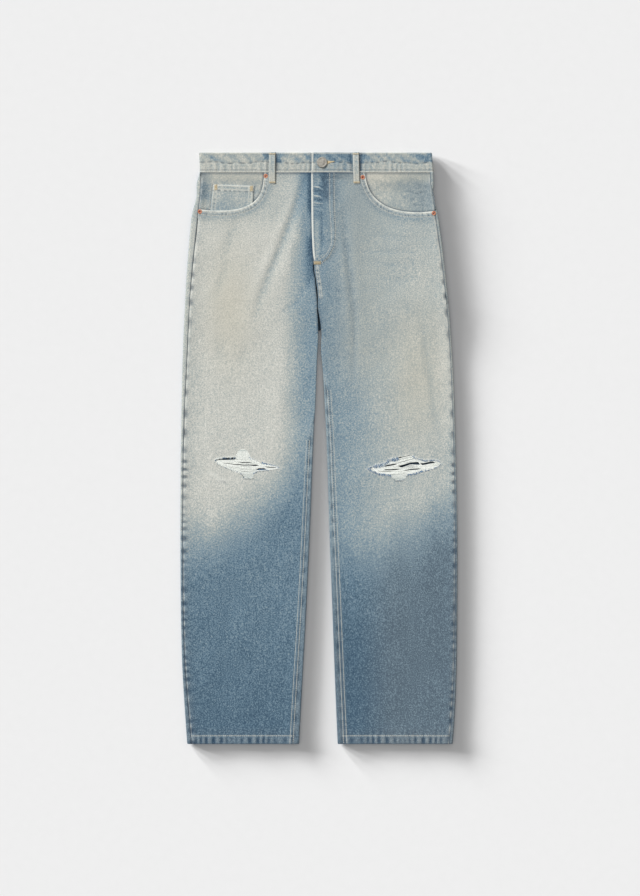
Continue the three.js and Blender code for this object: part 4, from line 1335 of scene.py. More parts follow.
def band_wash_and_shade(x, y):
    """Greyer above the middle crease, paler below it and on the ridges, with blue painted shade by the loops.
    """
    above = y - band_crease(x)
    # Painted shade along the middle crease.
    crease = bell(above, 1.3) * np.clip(0.55 + ripple(x, 13.0, 4.0), 0, 1)
    upper = smooth(above, -2, 3)
    places = [-205, -190, -140, -90, -50, -20, 10, 40, 80, 110, 150, 205]
    tones = [0.72, 0.68, 0.8, 0.66, 0.74, 0.54, 0.4, 0.4, 0.56, 0.66, 0.66, 0.4]
    fade = mix(np.interp(x, [-30, 0, 60, 110], [0.86, 0.64, 0.6, 0.8]), np.interp(x, places, tones), upper)
    lean = np.sin((x + 1.3 * y) / 4.2 + 2 * np.sin(x / 19))
    fade = fade + upper * 0.12 * np.clip(lean, -1, 1)
    # Bluer by the loops and the button: painted shade. Under the crease the pucker troughs darken, partly as
    # painted shade.
    dark = bell(x + 95, 5) * smooth(y, 514, 520) + bell(x + 71, 7) * smooth(y, 508, 514)
    dark = dark + 0.8 * bell(x - 57, 4) * upper + 0.8 * bell(x - 78, 6) * upper
    dark = dark + 0.5 * bell(x + 9, 3) * smooth(y, 516, 522)
    fade = fade - 0.4 * dark - 0.16 * np.clip(-ripple(x, 11.0, 3.0), 0, 1) * smooth(-above, 1, 4)
    fade = fade + 0.04 * rolling(x, y, 14, 52) + 0.05 * rolling(x, y, 7, 53)
    sand = 0.22 * smooth(fade, 0.4, 0.7)
    line = bell(y - WAIST_SEAM - 0.8, 1.3) + 0.6 * bell(y - WAIST_TOP, 1.6)
    end = bell(x - LAP_END - 0.9, 1.3)
    worn = 0.85 * line + 1.3 * end + 0.25 * np.clip(ripple(x, 11.0, 3.0), 0, 1) * smooth(-above, 1, 4)
    shade = bell(x + 75.5, 2.2) + bell(x - 75.6, 2.4) + 0.5 * bell(x + 92.5, 1.3) + 0.5 * bell(x - 57.5, 1.3)
    shade = shade + 0.6 * bell(x - LAP_END + 2.2, 1.6) + 0.6 * bell(y - WAIST_SEAM - 4.4, 1.0)
    return washed_and_shaded(fade, sand, worn, np.minimum(0.85 * crease + 0.9 * shade, 0.85) * (1 - np.clip(worn, 0, 1)))


def make_waistband():
    """Sweeps the two-ply section along the strip and puckers its outer face."""
    line = band_line()
    step = np.gradient(line, axis=0)
    step /= np.linalg.norm(step, axis=1, keepdims=True)
    out = np.stack([step[:, 1], -step[:, 0]], axis=1)  # away from the inside of the ring
    if out[20, 1] < 0:
        out = -out
    corner = 1.0
    half = BAND / 2
    turn = np.linspace(0, np.pi / 2, 4)[1:-1]
    outer_face = [(y, half) for y in np.linspace(WAIST_TOP - corner, WAIST_SEAM + corner, FACE_ROWS)]
    low = [(WAIST_SEAM + corner - corner * math.sin(a), half - corner + corner * math.cos(a)) for a in turn]
    low += [(WAIST_SEAM, half - corner), (WAIST_SEAM, corner - half)]
    low += [(WAIST_SEAM + corner - corner * math.cos(a), corner - half - corner * math.sin(a)) for a in turn]
    inner_face = [(y, -half) for y in np.linspace(WAIST_SEAM + corner, WAIST_TOP - corner, INNER_ROWS)]
    high = [(WAIST_TOP - corner + corner * math.sin(a), corner - half - corner * math.cos(a)) for a in turn]
    high += [(WAIST_TOP, corner - half), (WAIST_TOP, half - corner)]
    high += [(WAIST_TOP - corner + corner * math.cos(a), half - corner + corner * math.sin(a)) for a in turn]
    section = np.array(outer_face + low + inner_face + high)
    y, n = section[None, :, 0], section[None, :, 1]
    x = band_place(line[:, :1] + out[:, :1] * n, y)
    face_x = np.broadcast_to(line[:, :1], x.shape)
    wide_y = np.broadcast_to(y, x.shape)
    outer_side = smooth(n, 0, half)
    lift = band_relief(face_x, wide_y) * outer_side * smooth(np.abs(out[:, 1:]), 0.5, 1)
    back = out[:, 1:] < 0
    z = line[:, 1:] + out[:, 1:] * (n + np.where(back, np.minimum(lift, 0.2), lift))
    points = np.stack([x, wide_y, z], axis=2).reshape(-1, 3)
    index = numbered(*x.shape, ring=True)
    faces = cells(index).tolist()
    a, b, c = (points[faces[5][i]] for i in range(3))
    wrong = np.cross(b - a, c - a) @ np.array([0, 0, 1.0]) < 0
    if wrong:
        faces = [face[::-1] for face in faces]
    ends = [index[0, :-1].tolist(), index[-1, :-1].tolist()]
    ends = [ends[0] if wrong else ends[0][::-1], ends[1][::-1] if wrong else ends[1]]
    look = band_wash_and_shade(face_x.ravel(), wide_y.ravel())
    print("waistband:", len(line), "sections and", len(faces), "cells")
    return piece("denim_waistband", points, faces + ends, [denim], ["waistband"], look)


waistband = make_waistband()

# %% [markdown]
# ## Belt loops
# Each front loop is a folded strip, tacked at the top of the waistband and again below its seam, and it
# bows a little between. The back loops lie pressed flat under the waistband.

# %% Build the belt loops
LOOP_WIDTH = 12.0
LOOP_TOP = 530.5
LOOP_FOOT = 475.5
LOOPS = {"front_right": (-84.0, -84.0), "front_left": (66.0, 67.6)}
BACK_LOOPS = {"back_right": -130.0, "back_centre": -5.0, "back_left": 120.0}
LOOP_THICK = 1.5
BACK_LOOP_HEIGHT = 0.66  # middle of a back loop, which is pressed to one ply


def loop_line(on_band):
    """y and z along a front loop."""
    panel = HIP_HEIGHT + DENIM / 2 + LOOP_THICK / 2 + 0.5
    top = on_band + BAND / 2 + LOOP_THICK / 2 + 0.1
    path = [(LOOP_TOP + 1, top - 1.0), (LOOP_TOP + 0.8, top + 0.1), (528, top + 0.2), (520, top + 1.2)]
    path += [(508, top + 1.6), (498, top + 1.1), (490, panel + 1.4), (482, panel + 0.5), (LOOP_FOOT, panel)]
    path += [(LOOP_FOOT - 0.4, panel - 0.5)]
    return spaced(path, 1.5)


def strap(name, node, line, x_top, x_foot, width, thick, seed):
    """A strip with rounded sides along y and z: its section is a flat oval with a ridge at each side."""
    across = np.linspace(-1, 1, 9)
    crown = np.array([0.0, 0.75, 1.0, 0.88, 0.8, 0.88, 1.0, 0.75, 0.0]) * thick / 2
    below = [(u, -h) for u, h in zip(across[-2:0:-1], crown[1:-1])]
    section = np.array(list(zip(across, crown)) + below)
    y, z = line[:, :1], line[:, 1:]
    share = (y - LOOP_FOOT) / (LOOP_TOP - LOOP_FOOT)
    x = mix(x_foot, x_top, share) + section[None, :, 0] * width / 2
    rough = 0.12 * ripple(np.broadcast_to(y, x.shape) + 20 * np.sign(section[None, :, 0]), 5.5, seed)
    height = z + section[None, :, 1] + rough * (section[None, :, 1] > 0)
    points = np.stack([x, np.broadcast_to(y, x.shape), height], axis=2)
    index = numbered(*x.shape, ring=True)
    faces = cells(index).tolist() + [index[-1, :-1].tolist(), index[0, :-1][::-1].tolist()]
    flat = points.reshape(-1, 3)
    a, b, c = (flat[faces[2][i]] for i in range(3))
    if np.cross(b - a, c - a)[2] < 0:
        faces = [face[::-1] for face in faces]
    side = np.broadcast_to(np.abs(section[:, 0])[None, :], x.shape).ravel()
    high = smooth(flat[:, 1], 482, 505)
    fade = mix(0.9, 0.74, high) + 0.08 * rolling(flat[:, 0], flat[:, 1], 9, 61)
    look = washed_and_shaded(fade, mix(0.3, 0.12, high), 0.5 * bell(side - 0.72, 0.22), 0.5 * bell(side - 1, 0.12))
    return piece(name, flat, faces, [denim], [node], look)


loops = []
for name, (x_top, x_foot) in LOOPS.items():
    names = (f"denim_loop_{name}", f"belt_loop_{name}")
    line = loop_line(BAND_FRONT)
    loops.append(strap(*names, line, x_top, x_foot, LOOP_WIDTH, LOOP_THICK, x_top))
for name, x in BACK_LOOPS.items():
    names = (f"denim_loop_{name}", f"belt_loop_{name}")
    line = spaced([(LOOP_TOP, BACK_LOOP_HEIGHT), (LOOP_FOOT, BACK_LOOP_HEIGHT)], 3)
    loops.append(strap(*names, line, x, x, LOOP_WIDTH, DENIM, x))
print("belt loops:", len(loops))

# %% [markdown]
# ## Stitches
# Jeans are sewn with a thick pale thread at about three stitches to the centimetre. Each stitch is a
# small rounded bar that sinks a little into the cloth, so a row reads as a dashed line. One bar is
# copied along every row by arrays of places and directions. The raw edges at the inseam and the fly are
# overlocked in a dark thread, made as rows of shorter bars.


# %% Sew the rows
def bar(sides=6):
    """A bar along x from -1 to 1 with a radius of 1 and pointed ends: its points and faces."""
    angle = np.arange(sides) * 2 * np.pi / sides
    rings = []
    for at, size in ((-0.86, 0.62), (-0.4, 1.0), (0.4, 1.0), (0.86, 0.62)):
        rings.append(np.stack([np.full(sides, at), size * np.cos(angle), size * np.sin(angle)], axis=1))
    points = np.concatenate(rings + [[(-1, 0, 0), (1, 0, 0)]])
    index = numbered(4, sides, ring=True)
    faces = cells(index).tolist()
    first, last = 4 * sides, 4 * sides + 1
    caps = [[first, int(index[0, i]), int(index[0, i + 1])] for i in range(sides)]
    caps += [[last, int(index[3, i + 1]), int(index[3, i])] for i in range(sides)]
    return points, faces, caps


BAR_POINTS, BAR_SIDES, BAR_CAPS = bar()


def bars(name, starts, ends, thick, materials, which=None, flat=0.75):
    """Joined bars from each start to its end, all in one mesh, with a material number for each bar."""
    starts, ends = np.asarray(starts, float), np.asarray(ends, float)
    along = ends - starts
    length = np.linalg.norm(along, axis=1, keepdims=True)
    along = along / length
    side = np.cross([0, 0, 1.0], along)
    side /= np.maximum(np.linalg.norm(side, axis=1, keepdims=True), 1e-9)
    up = np.cross(along, side)
    half = np.broadcast_to(np.asarray(thick, float), len(starts))[:, None, None] / 2
    p = BAR_POINTS[None]
    points = ((starts + ends) / 2)[:, None] + p[..., :1] * (length / 2)[:, None] * along[:, None]
    points = points + half * (p[..., 1:2] * side[:, None] + flat * p[..., 2:] * up[:, None])
    count = len(starts)
    offset = (np.arange(count) * len(BAR_POINTS))[:, None, None]
    quads = (np.array(BAR_SIDES)[None] + offset).reshape(-1, 4)
    caps = (np.array(BAR_CAPS)[None] + offset).reshape(-1, 3)
    made = piece(name, points.reshape(-1, 3), quads.tolist() + caps.tolist(), materials)
    if which is not None:
        which = np.asarray(which)
        numbers = np.concatenate([np.repeat(which, len(BAR_SIDES)), np.repeat(which, len(BAR_CAPS))])
        made.data.polygons.foreach_set("material_index", numbers.astype(np.int32))
    return made


def row_of(path, height, pitch=STITCH_PITCH, length=STITCH_LONG):
    """Starts and ends of the stitches along a plan path, set on the height field."""
    path = np.asarray(path, float)
    run = run_of(path)
    middle = np.arange(pitch / 2, run[-1], pitch)

    def at(distance):
        x, y = np.interp(distance, run, path[:, 0]), np.interp(distance, run, path[:, 1])
        return np.stack([x, y, height(x, y)], axis=1)

    return at(middle - length / 2), at(middle + length / 2)


def sew(name, rows, thick=STITCH_THICK, dark=()):
    """Joined stitches: rows of (path, height), and dark rows of (path, height, pitch, length, thick)."""
    pairs = [row_of(path, height) for path, height in rows]
    thicks = [np.full(len(start), thick) for start, _ in pairs]
    shades = [np.zeros(len(start), int) for start, _ in pairs]
    for path, height, pitch, length, heavy in dark:
        pairs.append(row_of(path, height, pitch, length))
        thicks.append(np.full(len(pairs[-1][0]), heavy))
        shades.append(np.ones(len(pairs[-1][0]), int))
    starts = np.concatenate([start for start, _ in pairs])
    ends = np.concatenate([end for _, end in pairs])
    colours = [thread, overlock] if dark else [thread]
    return bars(name, starts, ends, np.concatenate(thicks), colours, np.concatenate(shades))


def on_front(leg):
    """Top of the front cloth, where a stitch lies."""
    return lambda x, y: front_cloth(leg, x, y)[0] + DENIM / 2 + 0.12


def on_band(x, y):
    """Top of the waistband at the front."""
    height = np.where(x > LAP_END, mix(BAND_LAP, BAND_FRONT, smooth(x, LAP_LIE, LAP_RISE)), BAND_FRONT)
    return height + BAND / 2 + band_relief(x, y) + 0.1


def on_coin(lift):
    """Top of the coin pocket, and the lift of a stitch over it."""
    return lambda x, y: coin_height(x, y) + DENIM / 2 + lift


def under(level):
    """A level just under a piece whose lower face is at the level."""
    return lambda x, y: np.full(np.shape(x), level)


def across_line(x0, x1, y):
    """A level line of stitches."""
    return np.array([(x0, y), (x1, y)], float)


stitches = {}
for leg in LEGS:
    rows = [(hem_path(leg, HEM_ROW), on_front(leg))]
    for inset in SCOOP_ROWS:
        rows.append((scoop_path(leg, inset), on_front(leg)))
    for inset in INSEAM_ROWS:
        path = edge_path(leg.inn, INSEAM_SHOWS[leg.name], HEM, leg.side * inset)
        rows.append((path, on_front(leg)))
    if leg.side > 0:
        rows += [(spaced(path, 6), on_front(leg)) for path in FLY_STITCH]
        for inset in (2.0, 6.6):
            rows.append((edge_path(leg.inn, 326, 270, inset), on_front(leg)))
    inseam = edge_path(leg.inn, INSEAM_SHOWS[leg.name], HEM, leg.side * 3.9)
    dark = [(inseam, lambda x, y: on_front(leg)(x, y) - 0.35, 4.6, 2.3, 1.9)]
    if leg.side > 0:
        dark.append((edge_path(leg.inn, 490, 345, 3.1), on_front(leg), 3.4, 1.7, 0.8))
        dark.append((spaced(FLY_STITCH[1], 6) - (1.4, 0), on_front(leg), 3.8, 2.1, 1.0))
    stitches[leg.name] = sew(f"stitches_front_{leg.name}", rows, STITCH_THICK, dark)

BAND_ROWS = (WAIST_TOP - 2.6, WAIST_SEAM + 1.9)
rows = []
for y in BAND_ROWS:
    rows.append((across_line(band_place(-200, y), LAP_END - 1, y), on_band))
    rows.append((across_line(LAP_END + 2, band_place(200, y), y), on_band))
    rows.append((across_line(-196, 186, y), under(BAND_BACK - BAND / 2 - 0.1)))
rows.append((np.array([(LAP_END + 2.4, WAIST_TOP - 3), (LAP_END + 2.4, WAIST_SEAM + 3)]), on_band))
stitches["waistband"] = sew("stitches_waistband", rows)

rows = []
seat_stitch = under(SEAT_HEIGHT - DENIM / 2 - 0.1)
for leg in LEGS:
    x0, x1 = float(leg.inner(HEM)) + leg.side * 8, float(leg.outer(HEM)) - leg.side * 8
    rows.append((across_line(x0, x1, HEM + HEM_ROW), under(BACK_HEIGHT - DENIM / 2 - 0.05)))
    inner = float(leg.inn(440))
    for gap in (3.0, 9.0):
        yoke_row = [(inner, YOKE_CENTRE - gap), (leg.side * 200, YOKE_SIDE - gap + 2)]
        rows.append((np.array(yoke_row), seat_stitch))
    outline = pocket_outline(leg)
    centre = outline.mean(axis=0)
    for inner_share in (0.965, 0.9):
        ring = centre + (outline - centre) * inner_share
        rows.append((np.concatenate([ring[1:], ring[:1]]), under(0.1)))
    rows.append((outline[:2] + (0, -10), under(0.1)))
for inset in (3, 9):
    rows.append((edge_path(left.inn, 420, 290, inset), seat_stitch))
stitches["back"] = sew("stitches_back", rows)

coin_rows = []
for drop in (1.8, 7.4):
    path = np.array([(-188.0, 473.5 - drop), (-119.0, 470.7 - drop)])
    coin_rows.append((path, on_coin(0.12)))
for inset in (1.8, 7.0):
    left_side = np.array([(-189.4 + inset, 470), (-195 + inset, 428)])
    right_side = np.array([(-117.8 - inset, 468), (-121.2 - inset, 436)])
    coin_rows.append((left_side, on_coin(0.12)))
    coin_rows.append((right_side, on_coin(0.12)))
stitches["coin"] = sew("stitches_coin_pocket", coin_rows)

loop_rows = []
for name, (x_top, x_foot) in LOOPS.items():
    line = loop_line(BAND_FRONT)
    for side in (-1, 1):
        path = np.array([(x_foot + side * 3.6, LOOP_FOOT + 4), (x_top + side * 3.6, LOOP_TOP - 4)])

        def on_loop(x, y, line=line):
            """Top of a loop at the height y."""
            return np.interp(y, line[::-1, 0], line[::-1, 1]) + LOOP_THICK / 2 + 0.08

        loop_rows.append((path, on_loop))
stitches["loops"] = sew("stitches_loops", loop_rows)
print("stitch pieces:", {name: len(made.data.polygons) // 30 for name, made in stitches.items()})

# %% [markdown]
# ## Bartacks and the buttonhole
# A bartack is a block of close zigzag stitches where a seam takes the strain: at both ends of each belt
# loop, at the corners of the coin pocket and at the foot of the fly. The buttonhole is edged the same
# way. These are sewn in a golden thread.


# %% Sew the tacks
def tack(middle, direction, length, width, height, count):
    """Short bars side by side across a line through the middle: their starts and ends."""
    way = np.array([math.cos(direction), math.sin(direction)])
    over = np.array([-way[1], way[0]])
    place = np.array(middle, float) + np.linspace(-0.5, 0.5, count)[:, None] * length * way
    lean = 0.18 * width * np.where(np.arange(count) % 2, 1, -1)[:, None] * way
    a, b = place - over * width / 2 - lean, place + over * width / 2 + lean
    lift = [height(p[:, 0], p[:, 1])[:, None] for p in (a, b)]
    return np.concatenate([a, lift[0]], axis=1), np.concatenate([b, lift[1]], axis=1)


def tacks(name, list_of, thick=0.7, material=None):
    """Joins several tacks into one piece."""
    starts = np.concatenate([start for start, _ in list_of])
    ends = np.concatenate([end for _, end in list_of])
    return bars(name, starts, ends, thick, [material or gold_thread], flat=1.0)


def on_fly(x, y):
    """Top of the cloth at the foot of the fly, and the lift of a bartack over it."""
    return on_front(left)(x, y) + 0.3


coin_ends = [(-185.4, 468.6), (-121.4, 466.4)]
coin_tacks = [tack(place, 1.57, 8.5, 6.0, on_coin(0.2), 13) for place in coin_ends]
coin_tacks = tacks("tacks_coin_pocket", coin_tacks, 0.75)
tacks("tacks_fly", [tack((-3.2, 332.6), 0.0, 11.5, 6.6, on_fly, 17)])
loop_tacks = []
for name, (x_top, x_foot) in LOOPS.items():
    line = loop_line(BAND_FRONT)
    top, foot = float(line[6, 1]), float(line[-4, 1])
    loop_tacks.append(tack((x_top, LOOP_TOP - 2.4), 0.0, 10.5, 2.0, under(top + LOOP_THICK / 2), 16))
    loop_tacks.append(tack((x_foot, LOOP_FOOT + 2.0), 0.0, 10.5, 2.8, under(foot + LOOP_THICK / 2 + 0.1), 16))
tacks("tacks_loops", loop_tacks, 0.65)

# The buttonhole is a wedge that the button's shank has pulled open: x, y and width along it.
HOLE = [(8.0, 512.2, 7.0), (14.0, 512.4, 6.6), (20.0, 513.6, 3.6), (27.5, 514.4, 1.4)]
hole = []
for x in np.arange(8.0, 27.6, 0.6):
    x_at, y_at, wide = np.array(HOLE).T
    place = (x, float(np.interp(x, x_at, y_at)))
    hole.append(tack(place, 0.0, 0.3, float(np.interp(x, x_at, wide)), lambda x, y: on_band(x, y) + 0.25, 2))
tacks("buttonhole_edge", hole, 0.65)
print("bartacks:", len(coin_ends) + 1 + len(loop_tacks), "and one buttonhole")

# %% [markdown]
# ## Button and rivets
# The shank button is a domed cap with a rolled rim, crimped on a short post through the waistband. The
# rivets hold the corners of the pocket mouths: a flat washer with a small nub.


# %% Turn the metal
def turned(name, profile, place, material, node, sides=40):
    """A profile of (radius, height) turned about the vertical through the place."""
    profile = np.array(profile, float)
    angle = np.arange(sides) * 2 * np.pi / sides
    ring = np.stack([np.cos(angle), np.sin(angle)], axis=1)
    body = profile[1:-1]
    x = body[:, :1] * ring[None, :, 0].reshape(1, -1) + place[0]
    y = body[:, :1] * ring[None, :, 1].reshape(1, -1) + place[1]
    z = np.broadcast_to(body[:, 1:], x.shape) + place[2]
    points = np.stack([x, y, z], axis=2).reshape(-1, 3)
    tips = np.array([(place[0], place[1], place[2] + height) for height in profile[[0, -1], 1]])
    index = numbered(len(body), sides, ring=True)
    faces = cells(index)[:, ::-1].tolist()
    low, high = len(points), len(points) + 1
    faces += [[low, int(index[0, i + 1]), int(index[0, i])] for i in range(sides)]
    faces += [[high, int(index[-1, i]), int(index[-1, i + 1])] for i in range(sides)]
    return piece(name, np.concatenate([points, tips]), faces, [material], [node])


BUTTON_AT = (5.4, 512.8)
button_profile = [
    (0, 0), (3.6, 0), (3.3, 0.5), (3.3, 1.0), (8.6, 1.0), (9.2, 1.3), (9.4, 1.8), (9.2, 2.3), (8.7, 2.6),
    (8.0, 2.65), (7.4, 2.5), (6.9, 2.38), (6.2, 2.4), (5.6, 2.5), (4.4, 2.65), (3.0, 2.75), (1.5, 2.8),
    (0, 2.82),
]
button_foot = float(on_band(np.array([BUTTON_AT[0]]), np.array([BUTTON_AT[1]]))[0]) + 0.1
button_place = (*BUTTON_AT, button_foot)
turned("metal_button", button_profile, button_place, steel, "button", 56)

rivet_profile = [(0, 0), (3.9, 0), (3.9, 0.4), (3.5, 0.75), (2.7, 0.8), (2.2, 0.55), (1.8, 0.3), (1.2, 0.35)]
rivet_profile += [(0.8, 0.7), (0.4, 0.85), (0, 0.88)]
rivets = []
for name in ("right_waist", "right_side", "left_waist", "left_side"):
    low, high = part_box(f"rivet_{name}")
    x, y = (low[0] + high[0]) / 2 / MM, (low[1] + high[1]) / 2 / MM
    leg = right if name.startswith("right") else left
    foot = float(front_cloth(leg, np.array([x]), np.array([y]))[0][0]) + DENIM / 2 - 0.05
    made = turned(f"rivet_metal_{name}", rivet_profile, (x, y, foot), copper, f"rivet_{name}", 28)
    made.data.materials.append(red_centre)
    middles = np.array([face.center[:2] for face in made.data.polygons]) / MM - (x, y)
    near_centre = np.hypot(*middles.T) < 1.9
    made.data.polygons.foreach_set("material_index", near_centre.astype(np.int32))
    rivets.append(made)
print("button stands on", round(button_foot, 1), "mm")

# %% [markdown]
# ## Yarns across the rips
# Where the warp has gone, the white weft yarns hang across the hole. They flow from tip to tip between
# an upper and a lower line and part round the slits, the dark gaps where yarns broke or slid aside. In
# a bare patch beside the hole the warp has gone too, and only level white yarns are left. Short blue
# and white ends stand out of the torn edges as a fringe.
#
# Each yarn is a thin tapered tube along its own line. It keeps to one side of every slit, because a
# yarn that jumped across would close the gap.

# %% Plan the yarns
# Flows are the upper and the lower line of each rip's yarns. Slits are lines, each with half its
# width. Bare patches are rows of (y, left, right).
FLOWS = {
    "right": (
        [(-187, -23), (-180, -22.2), (-169, -22), (-152, -21.2), (-145, -18.4), (-124, -19), (-111, -24.2)]
        + [(-99, -28.4), (-84, -32.2), (-70, -35)],
        [(-187, -24), (-182, -28.2), (-164, -36), (-151, -41), (-138, -45.5), (-117, -44.5), (-108, -40.4)]
        + [(-90, -39.4), (-70, -36.4)],
    ),
    "left": (
        [(88, -37), (102, -32.5), (118, -29), (128, -24.5), (145, -18.6), (165, -13), (176, -19)]
        + [(189, -22.4), (201, -21.8), (214, -22.8), (220, -26)],
        [(88, -39), (94, -41.4), (106, -45.6), (128, -48.4), (148, -49.4), (159, -47.2), (168, -46.4)]
        + [(179, -43.6), (191, -40), (205, -36.6), (215, -32.4), (220, -28)],
    ),
}
SLITS = {
    "right": [
        ([(-148, -26.3), (-134, -26.7), (-118, -26)], 0.7),
        ([(-176, -27), (-158, -29.2), (-134, -30.6), (-106, -29.4)], 0.8),
        ([(-150, -37), (-132, -37.8)], 0.5),
        ([(-116, -37.8), (-104, -38.4), (-92, -37.2)], 2.2),
        ([(-100, -34.2), (-84, -35.2), (-72, -35.4)], 1.1),
    ],
    "left": [
        ([(114, -32.2), (128, -30.8), (144, -28.4)], 1.7),
        ([(114, -38), (131, -38.9), (148, -38)], 1.0),
        ([(142, -37), (153, -33.5), (162, -29), (170, -26.2), (184, -23.6)], 2.0),
        ([(180, -32.6), (192, -29), (201, -25.8), (212, -24.6)], 2.3),
        ([(150, -42), (168, -38.4), (186, -36)], 0.9),
        ([(100, -40.2), (116, -42.6), (136, -44)], 0.8),
    ],
}
BARE = {
    "right": [
        [(-2.9, -142, -133), (-5.6, -145.4, -128.2), (-11, -147.6, -125.1), (-14.6, -149.4, -123.3)]
        + [(-20, -150.5, -122.4)],
        [(-43, -140, -114), (-48, -136.5, -117), (-54.6, -135.2, -118.4)],
    ],
    "left": [[(-47, 127, 160), (-51, 130, 158.5), (-55, 134, 156), (-58, 137, 151)]],
}
# Fringes of loose ends: edge, from, to, number, share of blue, shortest and longest.
FRINGES = {
    "right": [
        ("upper", -187, -150, 90, 0.3, 2.0, 4.0),
        ("upper", -126, -112, 40, 0.55, 2.0, 4.0),
        ("upper", -103, -72, 100, 0.85, 2.5, 4.5),
        ("lower", -118, -90, 90, 0.9, 2.0, 4.0),
        ("lower", -186, -136, 110, 0.25, 1.5, 4.0),
        ("lower", -137, -117, 40, 0.1, 1.5, 3.0),
    ],
    "left": [
        ("upper", 98, 142, 210, 0.7, 3.5, 8.0),
        ("upper", 88, 100, 40, 0.9, 1.5, 3.0),
        ("upper", 168, 218, 130, 0.7, 2.0, 4.0),
        ("lower", 88, 130, 170, 0.75, 2.0, 4.6),
        ("lower", 136, 158, 50, 0.6, 1.2, 2.4),
        ("lower", 158, 186, 140, 0.8, 2.4, 5.0),
        ("lower", 184, 219, 90, 0.6, 1.5, 3.0),
    ],
}
YARN_THICK = 1.15
YARN_HEIGHT = 4.3
YARNS = {"right": 30, "left": 36}
YARN_POINTS = 72


# %% Lay the yarns
def tubes(name, lines, thick, sides, materials, node=None, which=None, flat=1.0):
    """Joined tubes along lines: an array of (tube, point, xyz), tapered and closed at both ends."""
    lines = np.asarray(lines, float)
    count, length = lines.shape[:2]
    step = np.gradient(lines, axis=1)
    step /= np.maximum(np.linalg.norm(step, axis=2, keepdims=True), 1e-9)
    side = np.cross([0, 0, 1.0], step)
    side /= np.maximum(np.linalg.norm(side, axis=2, keepdims=True), 1e-6)
    up = np.cross(step, side)
    angle = np.arange(sides) * 2 * np.pi / sides
    radius = np.broadcast_to(np.asarray(thick, float), count)[:, None] / 2 * np.ones(length)[None, :]
    radius[:, 0] *= 0.35
    radius[:, -1] *= 0.35
    across, upwards = np.cos(angle)[None, None, :, None], flat * np.sin(angle)[None, None, :, None]
    ring = side[:, :, None] * across + up[:, :, None] * upwards
    points = lines[:, :, None] + ring * radius[:, :, None, None]
    index = np.arange(count * length * sides).reshape(count, length, sides)
    index = np.concatenate([index, index[:, :, :1]], axis=2)
    quads = np.stack([index[:, :-1, :-1], index[:, 1:, :-1], index[:, 1:, 1:], index[:, :-1, 1:]], axis=-1)
    quads = quads.reshape(-1, 4)[:, ::-1]
    first = index[:, 0, :-1].tolist()
    last = index[:, -1, :-1][:, ::-1].tolist()
    faces = quads.tolist() + first + last
    made = piece(name, points.reshape(-1, 3), faces, materials, [node] if node else [])
    if which is not None:
        which = np.asarray(which)
        per = (length - 1) * sides
        numbers = np.concatenate([np.repeat(which, per), which, which])
        made.data.polygons.foreach_set("material_index", numbers.astype(np.int32))
    return made


def yarns_of(leg, seed):
    """Lines of the yarns: y = upper + (lower - upper) * share, pushed away from each slit by its width."""
    rng = np.random.default_rng(seed)
    upper, lower = (np.array(flow, float) for flow in FLOWS[leg.name])
    count = YARNS[leg.name]
    share = np.cumsum(rng.uniform(0.4, 1.6, count))[:, None]
    share = 0.01 + 0.98 * (share - share[0]) / (share[-1] - share[0])
    start = upper[0, 0] + rng.uniform(-3, 8, (count, 1))
    end = upper[-1, 0] - rng.uniform(-3, 8, (count, 1))
    x = mix(start, end, np.linspace(0, 1, YARN_POINTS)[None, :])
    y = mix(np.interp(x, upper[:, 0], upper[:, 1]), np.interp(x, lower[:, 0], lower[:, 1]), share)
    phase = rng.uniform(0, 6.28, (count, 1))
    wide = np.interp(x, upper[:, 0], upper[:, 1]) - np.interp(x, lower[:, 0], lower[:, 1])
    y = y + 0.3 * np.sin(x / 11 + phase) * smooth(wide, 2, 10)
    for path, half in SLITS[leg.name]:
        path = np.array(path, float)
        along = np.clip((x - path[0, 0]) / (path[-1, 0] - path[0, 0]), 0, 1)
        level = np.interp(x, path[:, 0], path[:, 1])
        nearest = np.argmin(np.abs(x - path[:, 0].mean()), axis=1)[:, None]
        way = np.sign(np.take_along_axis(y - level, nearest, axis=1))
        gap = way * (y - level)
        push = half * np.sin(np.pi * along) ** 0.6
        kept = np.maximum(gap, 0) + push * np.exp(-np.abs(gap) / 3.2)
        inside = smooth(np.minimum(x - path[0, 0], path[-1, 0] - x), 0, 7)
        y = mix(y, level + way * kept, inside)
    tip = smooth(np.minimum(x - start, end - x), 0, 7)
    z = YARN_HEIGHT + 0.2 * np.sin(x / 7 + phase) + rng.uniform(-0.25, 0.25, (count, 1)) - 1.0 * (1 - tip)
    return np.stack([x, y, z], axis=2), YARN_THICK * rng.uniform(0.85, 1.15, count)


def bare_of(leg, seed):
    """Lines of the yarns of a bare patch: level, about 0.9 mm apart, with ragged ends."""
    rng = np.random.default_rng(seed)
    lines, which = [], []
    for rows in BARE[leg.name]:
        rows = np.array(rows, float)[::-1]
        above = rows[0, 0] > -25
        level = np.arange(rows[0, 0], rows[-1, 0], 0.85)[:, None]
        start = np.interp(level, rows[:, 0], rows[:, 1]) + rng.normal(0, 0.7, level.shape)
        end = np.interp(level, rows[:, 0], rows[:, 2]) + rng.normal(0, 0.7, level.shape)
        x = mix(start, end, np.linspace(0, 1, YARN_POINTS)[None, :])
        y = level + 0.12 * np.sin(x / 2.7 + 3 * level)
        z = front_cloth(leg, x, y)[0] + DENIM / 2 + 0.05
        lines.append(np.stack([x, y, z + 0 * x], axis=2))
        which.append(np.where(rng.random(len(level)) < (0.15 if above else 0.8), 1, 0))
    return np.concatenate(lines), np.concatenate(which)


